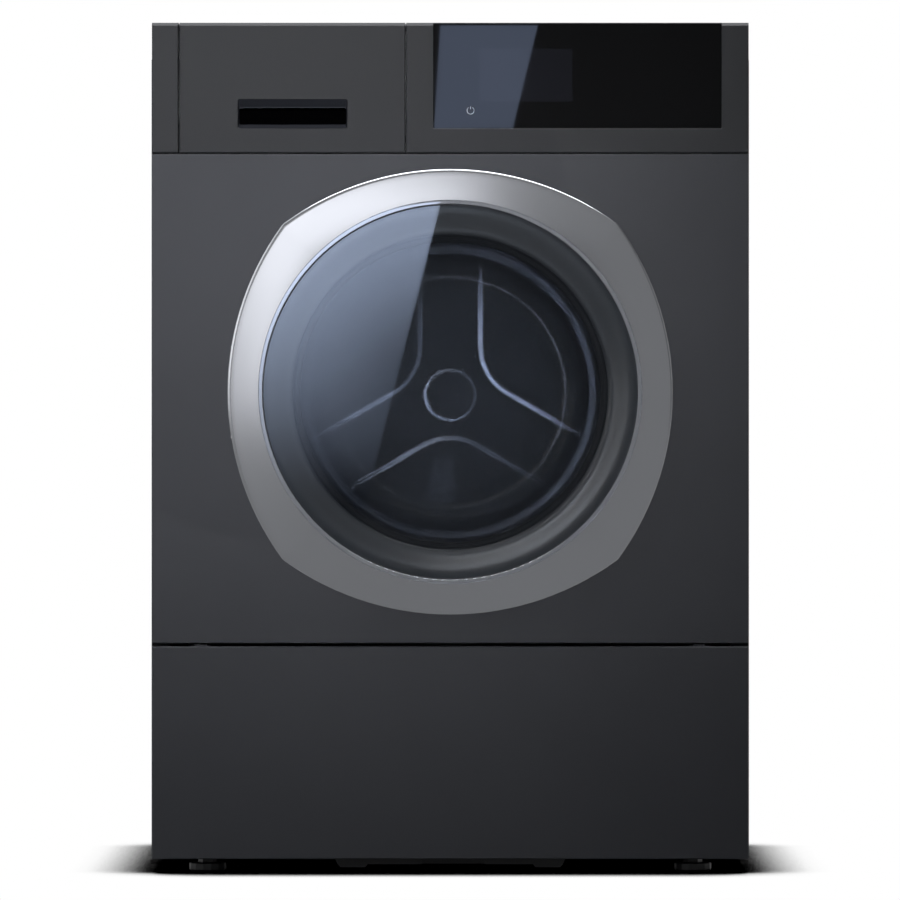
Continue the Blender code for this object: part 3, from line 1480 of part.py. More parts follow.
def lug_on_tub(x, depth, end_z, half):
    """A square lug from inside the tub's wall to the level where a spring, rod or hose meets it."""
    middle_r = TUB_INNER_R + TUB_LUG_ROOT
    end = end_z - DRUM_Z
    start = math.copysign(math.acos((x + half) / middle_r), end)
    stop = math.copysign(math.acos((x - half) / middle_r), end)
    outline = arc((0, 0), middle_r, start, stop, CORNER_STEPS) + [(x - half, end), (x + half, end)]
    return prism(outline, depth - half, depth + half, "Y")


def counterweight(name, middle, half_deg, carrier):
    """A cast sector bolted to the tub's front."""
    start, end = middle - math.radians(half_deg), middle + math.radians(half_deg)
    outline = arc((0, 0), WEIGHT_OUTER_R, start, end, WEIGHT_STEPS)
    outline += arc((0, 0), WEIGHT_INNER_R, end, start, WEIGHT_STEPS)
    back = TUB_FRONT - TUB_WALL - GAP
    piece = solid(name, prism(outline, back - WEIGHT_DEPTH, back, "Y"), cast_metal(), AXIS_AT, carrier)
    return softened(piece, MOULDING)


def heater(carrier):
    """A bent rod in the tub's foot, held in its rear wall."""
    rear = TUB_REAR - TUB_CHAMFER - GAP
    bend = arc((0, HEATER_NEAR), HEATER_HALF, 0, -HALF_TURN, CORNER_STEPS * 2)
    route = [(HEATER_HALF, rear)] + bend + [(-HEATER_HALF, rear)]
    return tube("heater", lay(route, -HEATER_DROP, "Z"), HEATER_R, zinc_steel(), AXIS_AT, carrier, 1)


def spring(name, side):
    """A close coil between the side panel's tab and the tub's lug, straight at both ends."""
    low, high = LUG_TOP + GAP, HANGER_Z - GAP
    coil_low, coil_high = low + SPRING_STRAIGHT, high - SPRING_STRAIGHT
    count = SPRING_TURNS * SPRING_TURN_POINTS
    points = [(0, 0, low), (0, 0, low + SPRING_STRAIGHT / 2)]
    for step in range(count + 1):
        turn = FULL_TURN * step / SPRING_TURN_POINTS
        z = coil_low + (coil_high - coil_low) * step / count
        points.append((SPRING_R * math.cos(turn), SPRING_R * math.sin(turn), z))
    points += [(0, 0, high - SPRING_STRAIGHT / 2), (0, 0, high)]
    at = CABINET_AT + Vector((side * SPRING_X, SPRING_DEPTH, 0))
    return tube(name, points, SPRING_WIRE_R, zinc_steel(), at, None, 1)


def damper_tube(name, side):
    """A damper's cylinder, standing on the base and open at the top."""
    low = BODY_BOTTOM + BASE_WALL + GAP
    profile = [
        (0, low),
        (DAMPER_R, low),
        (DAMPER_R, DAMPER_TOP),
        (DAMPER_BORE_R, DAMPER_TOP),
        (DAMPER_BORE_R, low + DAMPER_FLOOR),
        (0, low + DAMPER_FLOOR),
    ]
    at = CABINET_AT + Vector((side * DAMPER_X, DAMPER_DEPTH, 0))
    return solid(name, stood_up(turned(profile, SMALL_STEPS, closed=False)), zinc_steel(), at)


def damper_rod(name, side, carrier):
    """The rod that slides in the damper's cylinder and carries a lug of the tub."""
    outline = circle(DAMPER_ROD_R - EASE, SMALL_STEPS)
    at = CABINET_AT + Vector((side * DAMPER_X, DAMPER_DEPTH, 0))
    return solid(name, prism(outline, DAMPER_ROD_LOW, DAMPER_LUG_LOW - GAP, "Z"), zinc_steel(), at, carrier)


def ribbed_hose(name, radius, ribs, low, high, x, depth):
    """A bellows hose standing between two spigots, with its bore."""
    pitch = (high - low) / (ribs * 2)
    profile = [(radius + HOSE_RIB * (step % 2), low + pitch * step) for step in range(ribs * 2 + 1)]
    profile += [(radius - HOSE_WALL, high), (radius - HOSE_WALL, low)]
    at = CABINET_AT + Vector((x, depth, 0))
    return solid(name, stood_up(turned(profile, SMALL_STEPS)), seal_rubber(), at)


def sump_hose():
    return ribbed_hose(
        "sump_hose", HOSE_R, HOSE_RIBS, PUMP_SPIGOT_TOP + GAP, SUMP_LOW - GAP, HOSE_X, HOSE_DEPTH
    )


def fill_hose():
    high = TRAY_LOW - TRAY_ROOM - GAP - MOULDING - FILL_SPIGOT
    radius, low = FILL_R - EASE, FILL_LUG_TOP + GAP
    return ribbed_hose("fill_hose", radius, FILL_RIBS, low, high - GAP, FILL_X, FILL_DEPTH)


# Drum and drive


def drum_front(carrier):
    """The drum's front end, with its mouth rolled inwards."""
    path = [
        (DRUM_MOUTH_R, DRUM_FRONT + DRUM_LIP),
        (DRUM_MOUTH_R, DRUM_FRONT + MOUTH_ROUND),
        (DRUM_MOUTH_R + MOUTH_ROUND, DRUM_FRONT),
        (DRUM_R - DRUM_RIM / 2, DRUM_FRONT),
        (DRUM_R, DRUM_FRONT + DRUM_RIM / 2),
        (DRUM_R, DRUM_FRONT + DRUM_RIM - GAP),
    ]
    # the wall lies on the inner side of the drum
    profile = walled_path(path, SHEET)
    return solid("drum_front", turned(profile, DRUM_STEPS), drum_steel(), AXIS_AT, carrier)


def drum_mantle(carrier):
    profile = rectangle(DRUM_R - SHEET, DRUM_R, DRUM_FRONT + DRUM_RIM, DRUM_REAR - GAP)
    return solid("drum_mantle", turned(profile, DRUM_STEPS), drum_steel(), AXIS_AT, carrier)


def pad_outline(inset):
    """The outline, drawn in by an inset, of the raised field between two arms, pointing right."""
    lean = THIRD_TURN / 2
    arm = STAR_ARM_HALF + inset
    inner_r = STAR_CORNER_R - inset
    corner_r = PAD_CORNER_R - inset
    outer_r = PAD_R - inset
    inner_centre = ((arm + inner_r) / math.sin(lean), 0)
    along = math.sqrt((outer_r - corner_r) ** 2 - (arm + corner_r) ** 2)
    upper = (
        along * math.cos(lean) + (arm + corner_r) * math.sin(lean),
        along * math.sin(lean) - (arm + corner_r) * math.cos(lean),
    )
    bearing = math.atan2(upper[1], upper[0])
    square = lean + QUARTER_TURN
    outline = arc(inner_centre, inner_r, FULL_TURN - square, square, CORNER_STEPS * 2)
    outline += arc(upper, corner_r, square, bearing, CORNER_STEPS)
    outline += arc((0, 0), outer_r, bearing, -bearing, CORNER_STEPS * 2)[1:-1]
    outline += arc((upper[0], -upper[1]), corner_r, -bearing, -square, CORNER_STEPS)
    return outline


def drum_back(carrier):
    """The pressed rear end: a three-armed star stays low between raised fields, round a low boss."""
    bm = bmesh.new()
    rim = ring(bm, lay(circle(DRUM_R, DRUM_STEPS), DRUM_REAR, "Y"))
    skirt = ring(bm, lay(circle(DRUM_R, DRUM_STEPS), DRUM_REAR + DRUM_RIM / 2, "Y"))
    bridge(bm, rim, skirt)
    feet = []
    for number in range(STAR_ARMS):
        turn = QUARTER_TURN / STAR_ARMS + THIRD_TURN * number
        low = ring(bm, lay(turned_about(pad_outline(0), turn), DRUM_REAR, "Y"))
        high = ring(bm, lay(turned_about(pad_outline(PAD_SLOPE), turn), DRUM_REAR - PAD_RISE, "Y"))
        bridge(bm, low, high)
        fill(bm, high)
        feet.append(low)
    low = ring(bm, lay(circle(BOSS_R, SHAFT_STEPS), DRUM_REAR, "Y"))
    high = ring(bm, lay(circle(BOSS_R - BOSS_SLOPE, SHAFT_STEPS), DRUM_REAR - BOSS_RISE, "Y"))
    bridge(bm, low, high)
    fill(bm, high)
    fill(bm, rim, low, *feet)
    return sheet("drum_back", bm, (0, -1, 0), SHEET, drum_steel(), AXIS_AT, carrier)


def lifter(number, carrier):
    """A paddle on the drum's wall, in line with one arm of the star."""
    turn = QUARTER_TURN + THIRD_TURN * number
    mantle_r = (DRUM_R - SHEET) * math.cos(HALF_TURN / DRUM_STEPS) - GAP
    foot_r = math.sqrt(mantle_r**2 - LIFTER_FOOT_HALF**2)
    front = DRUM_FRONT + LIFTER_END_GAP
    rear = DRUM_REAR - PAD_RISE - LIFTER_END_GAP / 2
    loops = []
    for share, half_share in LIFTER_SHARES:
        half = LIFTER_TOP_HALF + (LIFTER_FOOT_HALF - LIFTER_TOP_HALF) * half_share
        slope = LIFTER_SLOPE * share**2
        radius = foot_r - LIFTER_HEIGHT * share
        outline = rounded(-half, half, front + slope, rear - slope, LIFTER_CORNER)
        flat = turned_about([(radius, across) for across, _ in outline], turn)
        loops.append([(x, depth, z) for (x, z), (_, depth) in zip(flat, outline)])
    return solid(f"lifter_{number + 1}", loft(loops), grey_plastic(), AXIS_AT, carrier)


def drum_spider(carrier):
    """Three tapered arms, their hub and the shaft, all one casting with its shaft pressed in."""
    front = DRUM_REAR + SHEET + GAP
    outline = []
    for number in range(STAR_ARMS):
        arm = [
            (SPIDER_NEAR_R, -SPIDER_ARM_NEAR),
            (SPIDER_FAR_R, -SPIDER_ARM_FAR),
            (SPIDER_FAR_R, SPIDER_ARM_FAR),
            (SPIDER_NEAR_R, SPIDER_ARM_NEAR),
        ]
        outline += turned_about(arm, QUARTER_TURN + THIRD_TURN * number)
    spider = solid(
        "drum_spider", prism(outline, front, front + SPIDER_DEPTH, "Y"), cast_aluminium(), AXIS_AT, carrier
    )
    shaft_end = PULLEY_FRONT + PULLEY_WIDTH + MOULDING
    shaft = [
        (0, front),
        (SPIDER_HUB_R, front),
        (SPIDER_HUB_R, front + SPIDER_HUB_DEPTH - MOULDING),
        (SPIDER_HUB_R - MOULDING, front + SPIDER_HUB_DEPTH),
        (SHAFT_R, front + SPIDER_HUB_DEPTH),
        (SHAFT_R, shaft_end),
        (0, shaft_end),
    ]
    return join(spider, turned(shaft, SHAFT_STEPS, closed=False))


def drum_pulley(carrier):
    """The large belt wheel on the drum's shaft."""
    front, rear = PULLEY_FRONT, PULLEY_FRONT + PULLEY_WIDTH
    middle = (front + rear) / 2
    web_front, web_rear = middle - PULLEY_WEB / 2, middle + PULLEY_WEB / 2
    bore_r = SHAFT_R + SHAFT_PLAY
    profile = [
        (bore_r, front),
        (PULLEY_HUB_R, front),
        (PULLEY_HUB_R, web_front),
        (PULLEY_R - PULLEY_RIM, web_front),
        (PULLEY_R - PULLEY_RIM / 2, front),
        (PULLEY_R, front),
        (PULLEY_R, rear),
        (PULLEY_R - PULLEY_RIM / 2, rear),
        (PULLEY_R - PULLEY_RIM, web_rear),
        (PULLEY_HUB_R, web_rear),
        (PULLEY_HUB_R, rear),
        (bore_r, rear),
    ]
    return solid("drum_pulley", turned(profile, PULLEY_STEPS), cast_aluminium(), AXIS_AT, carrier)


def motor(carrier):
    """The motor under the tub, on two lugs cut to the tub's round wall, with a bore for its shaft."""
    at = CABINET_AT + Vector((0, 0, MOTOR_Z))
    bore_r = MOTOR_SHAFT_R + EASE
    profile = [
        (0, MOTOR_FRONT),
        (MOTOR_R - MOTOR_BELL, MOTOR_FRONT),
        (MOTOR_R, MOTOR_FRONT + MOTOR_BELL),
        (MOTOR_R, MOTOR_REAR - MOTOR_BELL),
        (MOTOR_R - MOTOR_BELL, MOTOR_REAR),
        (bore_r, MOTOR_REAR),
        (bore_r, MOTOR_REAR - MOTOR_BORE_DEPTH),
        (0, MOTOR_REAR - MOTOR_BORE_DEPTH),
    ]
    piece = solid("motor", turned(profile, SHAFT_STEPS, closed=False), cast_aluminium(), at, carrier)
    middle = (MOTOR_FRONT + MOTOR_REAR) / 2
    axis_z = DRUM_Z - MOTOR_Z
    saddle = block(
        (-MOTOR_LUG_HALF, middle - MOTOR_LUG_LENGTH / 2, MOTOR_R / 2),
        (MOTOR_LUG_HALF, middle + MOTOR_LUG_LENGTH / 2, axis_z - TUB_INNER_R / 2),
    )
    join(piece, saddle)
    tub_hull = circle(TUB_INNER_R + TUB_WALL + GAP, TUB_STEPS, (0, axis_z))
    return cut(piece, prism(tub_hull, MOTOR_FRONT - OVERRUN, MOTOR_REAR + OVERRUN, "Y"))


def motor_pulley(carrier):
    """The small belt wheel and the motor shaft that it sits on."""
    front, rear = PULLEY_FRONT, PULLEY_FRONT + PULLEY_WIDTH
    inner_end = MOTOR_REAR - MOTOR_BORE_DEPTH + GAP
    profile = [
        (0, inner_end),
        (MOTOR_SHAFT_R, inner_end),
        (MOTOR_SHAFT_R, front),
        (MOTOR_PULLEY_R, front),
        (MOTOR_PULLEY_R, rear),
        (0, rear),
    ]
    at = CABINET_AT + Vector((0, 0, MOTOR_Z))
    return solid("motor_pulley", turned(profile, SMALL_STEPS, closed=False), cast_aluminium(), at, carrier)


def belt_outline(wall):
    """The belt's loop round both wheels, outside their facets by the wall, centred on the drum's axis."""
    span = DRUM_Z - MOTOR_Z
    lean = math.asin((PULLEY_R - MOTOR_PULLEY_R) / span)
    facet = math.cos((QUARTER_TURN + lean) / (BELT_STEPS // 2))
    large = (PULLEY_R + GAP) / facet + wall
    small = (MOTOR_PULLEY_R + GAP) / facet + wall
    outline = arc((0, 0), large, -lean, HALF_TURN + lean, BELT_STEPS // 2)
    return outline + arc((0, -span), small, HALF_TURN + lean, FULL_TURN - lean, BELT_STEPS // 2)


def drive_belt(carrier):
    start = PULLEY_FRONT + BELT_MARGIN
    end = PULLEY_FRONT + PULLEY_WIDTH - BELT_MARGIN
    belt = prism(belt_outline(BELT_THICKNESS), start, end, "Y", [belt_outline(0)])
    return solid("drive_belt", belt, seal_rubber(), AXIS_AT, carrier)


# Water and mains


def drain_pump():
    """The filter neck, pump chamber and pump motor in one row, with an inlet spigot on top."""
    profile = [
        (NECK_BORE_R, NECK_FRONT),
        (NECK_R, NECK_FRONT),
        (NECK_R, PUMP_FRONT),
        (PUMP_R, PUMP_FRONT + MOULDING),
        (PUMP_R, PUMP_REAR),
        (PUMP_MOTOR_R, PUMP_REAR + MOULDING),
        (PUMP_MOTOR_R, PUMP_MOTOR_REAR),
        (0, PUMP_MOTOR_REAR),
    ]
    bore = [(0, NECK_FRONT + NECK_BORE_DEPTH), (NECK_BORE_R, NECK_FRONT + NECK_BORE_DEPTH)]
    at = CABINET_AT + Vector((PUMP_X, 0, PUMP_Z))
    pump = solid("drain_pump", turned(bore + profile, SHAFT_STEPS, closed=False), grey_plastic(), at)
    spigot = circle(HOSE_R, SMALL_STEPS, (HOSE_X - PUMP_X, HOSE_DEPTH))
    return join(pump, prism(spigot, 0, PUMP_SPIGOT_TOP - PUMP_Z, "Z"))


def filter_cap(carrier):
    """The filter's screw-in cap, with a grip bar across its face."""
    back = NECK_FRONT - GAP
    front = back - CAP_THICKNESS
    profile = [
        (0, front),
        (CAP_R - EDGE, front),
        (CAP_R, front + EDGE),
        (CAP_R, back),
        (CAP_PLUG_R, back),
        (CAP_PLUG_R, back + CAP_PLUG),
        (0, back + CAP_PLUG),
    ]
    at = CABINET_AT + Vector((PUMP_X, 0, PUMP_Z))
    cap = solid("filter_cap", turned(profile, SHAFT_STEPS, closed=False), dark_plastic(), at, carrier)
    grip = rounded(
        -CAP_GRIP_HALF, CAP_GRIP_HALF, -CAP_GRIP_WIDTH_HALF, CAP_GRIP_WIDTH_HALF, CAP_GRIP_WIDTH_HALF - EDGE
    )
    return join(cap, prism(grip, front - CAP_GRIP, front + CAP_GRIP_ROOT, "Y"))


def inlet_valve():
    """The water inlet: rear spigot, valve body with its coil, and the pipe to the dispenser."""
    pipe_front = tray_front() + TRAY_LENGTH + TRAY_ROOM + MOULDING + GAP
    wall = CABINET_DEPTH - SHEET - GAP
    end = CABINET_DEPTH + SPIGOT_PROUD
    profile = [
        (0, pipe_front),
        (VALVE_PIPE_R, pipe_front),
        (VALVE_PIPE_R, VALVE_BODY_FRONT),
        (VALVE_BODY_R, VALVE_BODY_FRONT + MOULDING),
        (VALVE_BODY_R, wall),
        (SPIGOT_R, wall),
        (SPIGOT_R, end),
        (SPIGOT_BORE_R, end),
        (SPIGOT_BORE_R, end - SPIGOT_BORE),
        (0, end - SPIGOT_BORE),
    ]
    at = CABINET_AT + Vector((VALVE_X, 0, CONNECTION_Z))
    valve = solid("inlet_valve", turned(profile, SHAFT_STEPS, closed=False), white_plastic(), at)
    coil = block(
        (-COIL_HALF, VALVE_BODY_FRONT + VALVE_BODY_R, 0),
        (COIL_HALF, VALVE_BODY_FRONT + VALVE_BODY_R + COIL_LENGTH, COIL_HEIGHT),
    )
    return join(valve, coil)


def mains_inlet():
    """The gland that the supply cord would pass through, clamped in the rear panel."""
    wall_front, wall_rear = CABINET_DEPTH - SHEET - GAP, CABINET_DEPTH + GAP
    profile = [
        (GLAND_BORE_R, wall_front - GLAND_NUT),
        (GLAND_COLLAR_R, wall_front - GLAND_NUT),
        (GLAND_COLLAR_R, wall_front),
        (GLAND_NECK_R, wall_front),
        (GLAND_NECK_R, wall_rear),
        (GLAND_COLLAR_R, wall_rear),
        (GLAND_COLLAR_R, wall_rear + GLAND_COLLAR - EDGE),
        (GLAND_COLLAR_R - EDGE, wall_rear + GLAND_COLLAR),
        (GLAND_BORE_R, wall_rear + GLAND_COLLAR),
    ]
    at = CABINET_AT + Vector((MAINS_X, 0, CONNECTION_Z))
    return solid("mains_inlet", turned(profile, SMALL_STEPS), dark_plastic(), at)


def drain_route():
    """The pipe's stops: out of the pump, back along the side panel and up the rear to its outlet."""
    start_x = PUMP_X + PUMP_R + EASE
    start_depth = (PUMP_FRONT + PUMP_REAR) / 2
    side_x = SIDE_X - DRAIN_SIDE_ROOM
    rear = CABINET_DEPTH - DRAIN_REAR_ROOM
    return [
        (start_x, start_depth, DRAIN_FLOOR_Z),
        (start_x + DRAIN_LEAD, start_depth + DRAIN_DRIFT, DRAIN_FLOOR_Z),
        (side_x - DRAIN_LEAD / 2, start_depth + DRAIN_BEND, DRAIN_FLOOR_Z),
        (side_x, (start_depth + rear) / 2, DRAIN_FLOOR_Z + DRAIN_DRIFT),
        (side_x, rear - DRAIN_BEND * 2, DRAIN_CLIMB_Z),
        (side_x, rear - DRAIN_LEAD, DRAIN_CLIMB_Z + DRAIN_BEND),
        (side_x, rear, DRAIN_CLIMB_Z + DRAIN_BEND * 2),
        (side_x, rear, DRAIN_END_Z - DRAIN_BEND * 2),
        (DRAIN_END_X, rear, DRAIN_END_Z - DRAIN_BEND),
        (DRAIN_END_X, rear + DRAIN_LEAD, DRAIN_END_Z - DRAIN_DRIFT),
        (DRAIN_END_X, CABINET_DEPTH, DRAIN_END_Z),
    ]


def drain_hose_inner():
    """The drain pipe from the pump up to its outlet in the rear panel."""
    end = (DRAIN_END_X, CABINET_DEPTH + SPIGOT_PROUD, DRAIN_END_Z)
    points = smooth_route(drain_route(), DRAIN_POINTS) + [end]
    return tube("drain_hose_inner", points, DRAIN_R, grey_plastic())


# Assembly


def build_cabinet():
    base_frame()
    base_skid()
    side_panel("side_panel_left", -1)
    side_panel("side_panel_right", 1)
    rear_panel()
    rear_service_cover()
    worktop()
    front_panel()
    fascia_end_cap()
    control_fascia()
    control_glass()
    display_module()


def build_fixed_works():
    dispenser_housing()
    inlet_valve()
    drain_pump()
    drain_hose_inner()
    mains_inlet()
    door_lock()
    hinge_bracket()
    door_gasket()
    sump_hose()
    fill_hose()
    for name, side in (("left", -1), ("right", 1)):
        spring(f"suspension_spring_{name}", side)
        damper_tube(f"damper_tube_{name}", side)


def build_tub():
    carrier = pivot("tub_suspension_axis", AXIS_AT)
    tub_front(carrier)
    tub_rear(carrier)
    counterweight("counterweight_upper", QUARTER_TURN, UPPER_WEIGHT_HALF_DEG, carrier)
    counterweight("counterweight_lower", -QUARTER_TURN, LOWER_WEIGHT_HALF_DEG, carrier)
    heater(carrier)
    motor(carrier)
    drive_belt(carrier)
    for name, side in (("left", -1), ("right", 1)):
        damper_rod(f"damper_rod_{name}", side, carrier)
    motor_pulley(pivot("motor_spin_axis", CABINET_AT + Vector((0, 0, MOTOR_Z)), carrier))
    return carrier


def build_drum(tub_carrier):
    carrier = pivot("drum_spin_axis", AXIS_AT, tub_carrier)
    drum_front(carrier)
    drum_mantle(carrier)
    drum_back(carrier)
    for number in range(LIFTER_COUNT):
        lifter(number, carrier)
    drum_spider(carrier)
    drum_pulley(carrier)


def build_door():
    carrier = pivot("door_hinge_axis", AXIS_AT + Vector((HINGE_X, -HINGE_PROUD, 0)))
    door_ring(carrier)
    cover_pane(carrier)
    door_inner_frame(carrier)
    door_back_frame(carrier)
    door_bowl(carrier)
    hinge_arm(carrier)
    latch_hook(carrier)


def build_drawer():
    carrier = pivot("drawer_slide_axis", CABINET_AT + Vector((DRAWER_LEFT, 0, FASCIA_LOW)))
    drawer_front(carrier)
    drawer_tray(carrier)
    siphon_cap(carrier)


def build_flap_and_filter():
    pin_depth, pin_z = flap_pin_place()
    service_flap(pivot("flap_hinge_axis", CABINET_AT + Vector((0, pin_depth, pin_z))))
    filter_cap(pivot("filter_turn_axis", CABINET_AT + Vector((PUMP_X, NECK_FRONT, PUMP_Z))))


def build_feet():
    names = ("foot_front_left", "foot_front_right", "foot_rear_left", "foot_rear_right")
    for name, place in zip(names, foot_places()):
        x, depth = place
        foot(name, place, pivot(f"{name}_axis", CABINET_AT + Vector((x, depth, 0))))


def main():
    for item in list(bpy.data.objects):
        bpy.data.objects.remove(item, do_unlink=True)
    build_cabinet()
    build_fixed_works()
    build_drum(build_tub())
    build_door()
    build_drawer()
    build_flap_and_filter()
    build_feet()


main()
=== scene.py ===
"""Looks of a front-loading washing machine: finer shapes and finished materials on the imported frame.

Metres, +Z up, front to -Y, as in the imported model. A depth is measured back from the front panel's
face, so that what stands proud of it has a negative depth.
"""

import math

import bmesh
import bpy
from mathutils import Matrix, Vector

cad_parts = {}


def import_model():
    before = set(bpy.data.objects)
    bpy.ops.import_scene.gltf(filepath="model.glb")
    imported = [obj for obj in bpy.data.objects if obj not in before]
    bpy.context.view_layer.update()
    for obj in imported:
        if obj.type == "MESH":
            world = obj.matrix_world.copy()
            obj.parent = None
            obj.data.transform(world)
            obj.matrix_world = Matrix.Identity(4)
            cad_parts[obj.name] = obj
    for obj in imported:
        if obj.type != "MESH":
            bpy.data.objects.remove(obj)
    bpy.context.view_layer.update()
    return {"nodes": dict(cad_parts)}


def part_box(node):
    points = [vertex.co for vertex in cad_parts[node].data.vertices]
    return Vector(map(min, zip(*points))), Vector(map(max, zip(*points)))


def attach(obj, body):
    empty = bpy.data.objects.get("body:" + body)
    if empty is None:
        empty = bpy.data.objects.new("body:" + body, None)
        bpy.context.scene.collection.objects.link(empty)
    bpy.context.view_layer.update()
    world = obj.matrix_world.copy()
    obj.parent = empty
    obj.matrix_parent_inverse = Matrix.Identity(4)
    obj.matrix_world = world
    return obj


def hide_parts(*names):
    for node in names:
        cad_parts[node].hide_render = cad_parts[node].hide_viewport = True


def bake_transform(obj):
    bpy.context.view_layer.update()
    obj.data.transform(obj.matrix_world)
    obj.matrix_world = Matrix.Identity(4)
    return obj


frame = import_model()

NODES = frame["nodes"]


# Places read from the frame


def low(node):
    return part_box(node)[0]


def high(node):
    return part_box(node)[1]


def half_width(node):
    return (high(node).x - low(node).x) / 2


def middle(node):
    return (low(node) + high(node)) / 2


FRONT_Y = low("front_panel").y
AXIS = Vector((0, FRONT_Y, middle("cover_pane").z))
CABINET = Vector((0, FRONT_Y, 0))
ORIGIN = Vector((0, 0, 0))

# Camera: the photograph's frame is this wide at the front panel's plane
FRAME_WIDTH = 0.8988
FRAME_CENTRE_X = -0.00025
FRAME_CENTRE_Z = 0.4232
LENS_MM = 320
SENSOR_MM = 36

# Fineness of the new shapes
ROUND_STEPS = 144
FILLET_STEPS = 5
SHARP = math.radians(40)
FULL_TURN = 2 * math.pi
HALF_TURN = math.pi
QUARTER_TURN = math.pi / 2
THIRD_TURN = FULL_TURN / 3
WELD = 0.00001
SKIN = 0.0001

# Door ring
RING_HALF = half_width("door_ring")
RING_ARC_R = 0.2813
RING_CORNER_R = 0.012
RING_INNER_R = 0.191
RING_LIP = 0.004
RING_WALL = 0.0025
RING_FRONT = FRONT_Y - low("door_ring").y
RING_BACK = FRONT_Y - high("door_ring").y
RING_SLOPE = 0.0040
RING_BEVEL = 0.0010
RING_ARC_STEPS = 30
RING_CORNER_STEPS = 8
HINGE_NOTCH_HALF = 0.040
HINGE_NOTCH_PROUD = 0.0300
GRIP_NOTCH_HALF = 0.062
GRIP_NOTCH_PROUD = 0.0240
NOTCH_DEPTH = 0.010
OVERRUN = 0.010

# Door, inside the ring
DISH_INNER_R = 0.1562
DISH_FALL = 0.0036
DISH_FOOT = -0.0120
DISH_WALL = 0.0025
BOWL_WALL = 0.004
CLAMP_INNER_R = 0.1515
CLAMP_OUTER_R = 0.1558
CLAMP_PITCH = 0.0014
CLAMP_RISE = 0.0009

# Drum
DRUM_R = half_width("drum_mantle")
SHEET = 0.0012
DRUM_RIM = 0.006
DRUM_MOUTH_R = 0.150
STAR_ARM_HALF = 0.0277
STAR_CORNER_R = 0.060
PAD_R = 0.212
PAD_CORNER_R = 0.022
PAD_ARC_STEPS = 14
PAD_SLOPE = 0.008
PAD_RISE = 0.0009
BOSS_R = 0.0297
BOSS_SLOPE = 0.007
BOSS_RISE = 0.0005
PRESSED_STEPS = ((0, 0), (0.12, 0.03), (0.3, 0.18), (0.5, 0.5), (0.7, 0.82), (0.88, 0.97), (1, 1))

# Front
MOUTH_R = 0.168
MOUTH_ROUNDING = 0.004
MOUTH_DEPTH = 0.012
SHEET_EDGE = 0.0010
LATCH_SLOT = (0.1745, 0.1925, -0.010, 0.010)
LATCH_SLOT_CORNER_R = 0.001
DISPLAY = (0.0292, 0.1220, 0.7713, 0.8240)
DISPLAY_CORNER_R = 0.0008
EDGE_TURNS = (0, 0.4, 0.8, 1.2, QUARTER_TURN)
MOUTH_TURNS = (0, 0.3, 0.6, 0.9, 1.2, QUARTER_TURN)

# Rear
SCREW_R = 0.0040
SCREW_RISE = 0.0022
DOOR_SCREW_R = 0.0034
DOOR_SCREW_RISE = 0.0018
DOOR_SCREW_CIRCLE = 0.1835
HOOD_HALF = 0.030
SLIT_HALF = 0.029
SLIT_HEIGHT = 0.0016


# Flat outlines and sections


def arc(centre, radius, start, end, steps):
    turns = [start + (end - start) * step / steps for step in range(steps + 1)]
    return [(centre[0] + radius * math.cos(t), centre[1] + radius * math.sin(t)) for t in turns]


def circle(radius, steps, centre=(0, 0)):
    return arc(centre, radius, 0, FULL_TURN, steps)[:-1]


def rounded(left, right, bottom, top, radius, steps=FILLET_STEPS):
    corners = (
        (right - radius, bottom + radius, -QUARTER_TURN),
        (right - radius, top - radius, 0),
        (left + radius, top - radius, QUARTER_TURN),
        (left + radius, bottom + radius, HALF_TURN),
    )
    outline = []
    for x, z, start in corners:
        outline += arc((x, z), radius, start, start + QUARTER_TURN, steps)
    return outline


def turned_about(outline, angle):
    cos, sin = math.cos(angle), math.sin(angle)
    return [(x * cos - z * sin, x * sin + z * cos) for x, z in outline]


def filleted(path, radius, steps=FILLET_STEPS):
    """The path with each corner but its ends replaced by a curve that starts a radius before it."""
    points = [Vector(point) for point in path]
    smooth = [points[0]]
    for before, here, after in zip(points, points[1:], points[2:]):
        reach = min(radius, (here - before).length * 0.45, (after - here).length * 0.45)
        start = here + (before - here).normalized() * reach
        end = here + (after - here).normalized() * reach
        for step in range(steps + 1):
            t = step / steps
            smooth.append(start * (1 - t) ** 2 + here * 2 * t * (1 - t) + end * t**2)
    return smooth + [points[-1]]


def offset_path(path, wall):
    """The path moved to its left by a wall, with mitred corners."""
    moved = []
    for i, point in enumerate(path):
        here = Vector(point)
        ways = []
        if i > 0:
            ways.append((here - Vector(path[i - 1])).normalized())
        if i < len(path) - 1:
            ways.append((Vector(path[i + 1]) - here).normalized())
        normals = [Vector((-way.y, way.x)) for way in ways]
        bisector = sum(normals, Vector((0, 0))).normalized()
        moved.append(here + bisector * wall / bisector.dot(normals[0]))
    return moved


def walled(path, wall):
    return [Vector(p) for p in path] + offset_path(path, wall)[::-1]


# Meshes


def lay(outline, level, axis):
    if axis == "X":
        return [(level, a, b) for a, b in outline]
    if axis == "Y":
        return [(a, level, b) for a, b in outline]
    return [(a, b, level) for a, b in outline]


def ring(bm, points):
    corners = [bm.verts.new(point) for point in points]
    for pair in zip(corners, corners[1:] + corners[:1]):
        bm.edges.new(pair)
    return corners


def bridge(bm, first, second):
    for i in range(len(first)):
        j = (i + 1) % len(first)
        bm.faces.new((first[i], first[j], second[j], second[i]))


def joined(bm, rings):
    """Rings joined one to the next."""
    for first, second in zip(rings, rings[1:]):
        bridge(bm, first, second)


def fill(bm, *loops):
    edges = [bm.edges.get(pair) for loop in loops for pair in zip(loop, loop[1:] + loop[:1])]
    bmesh.ops.triangle_fill(bm, use_beauty=True, edges=edges)


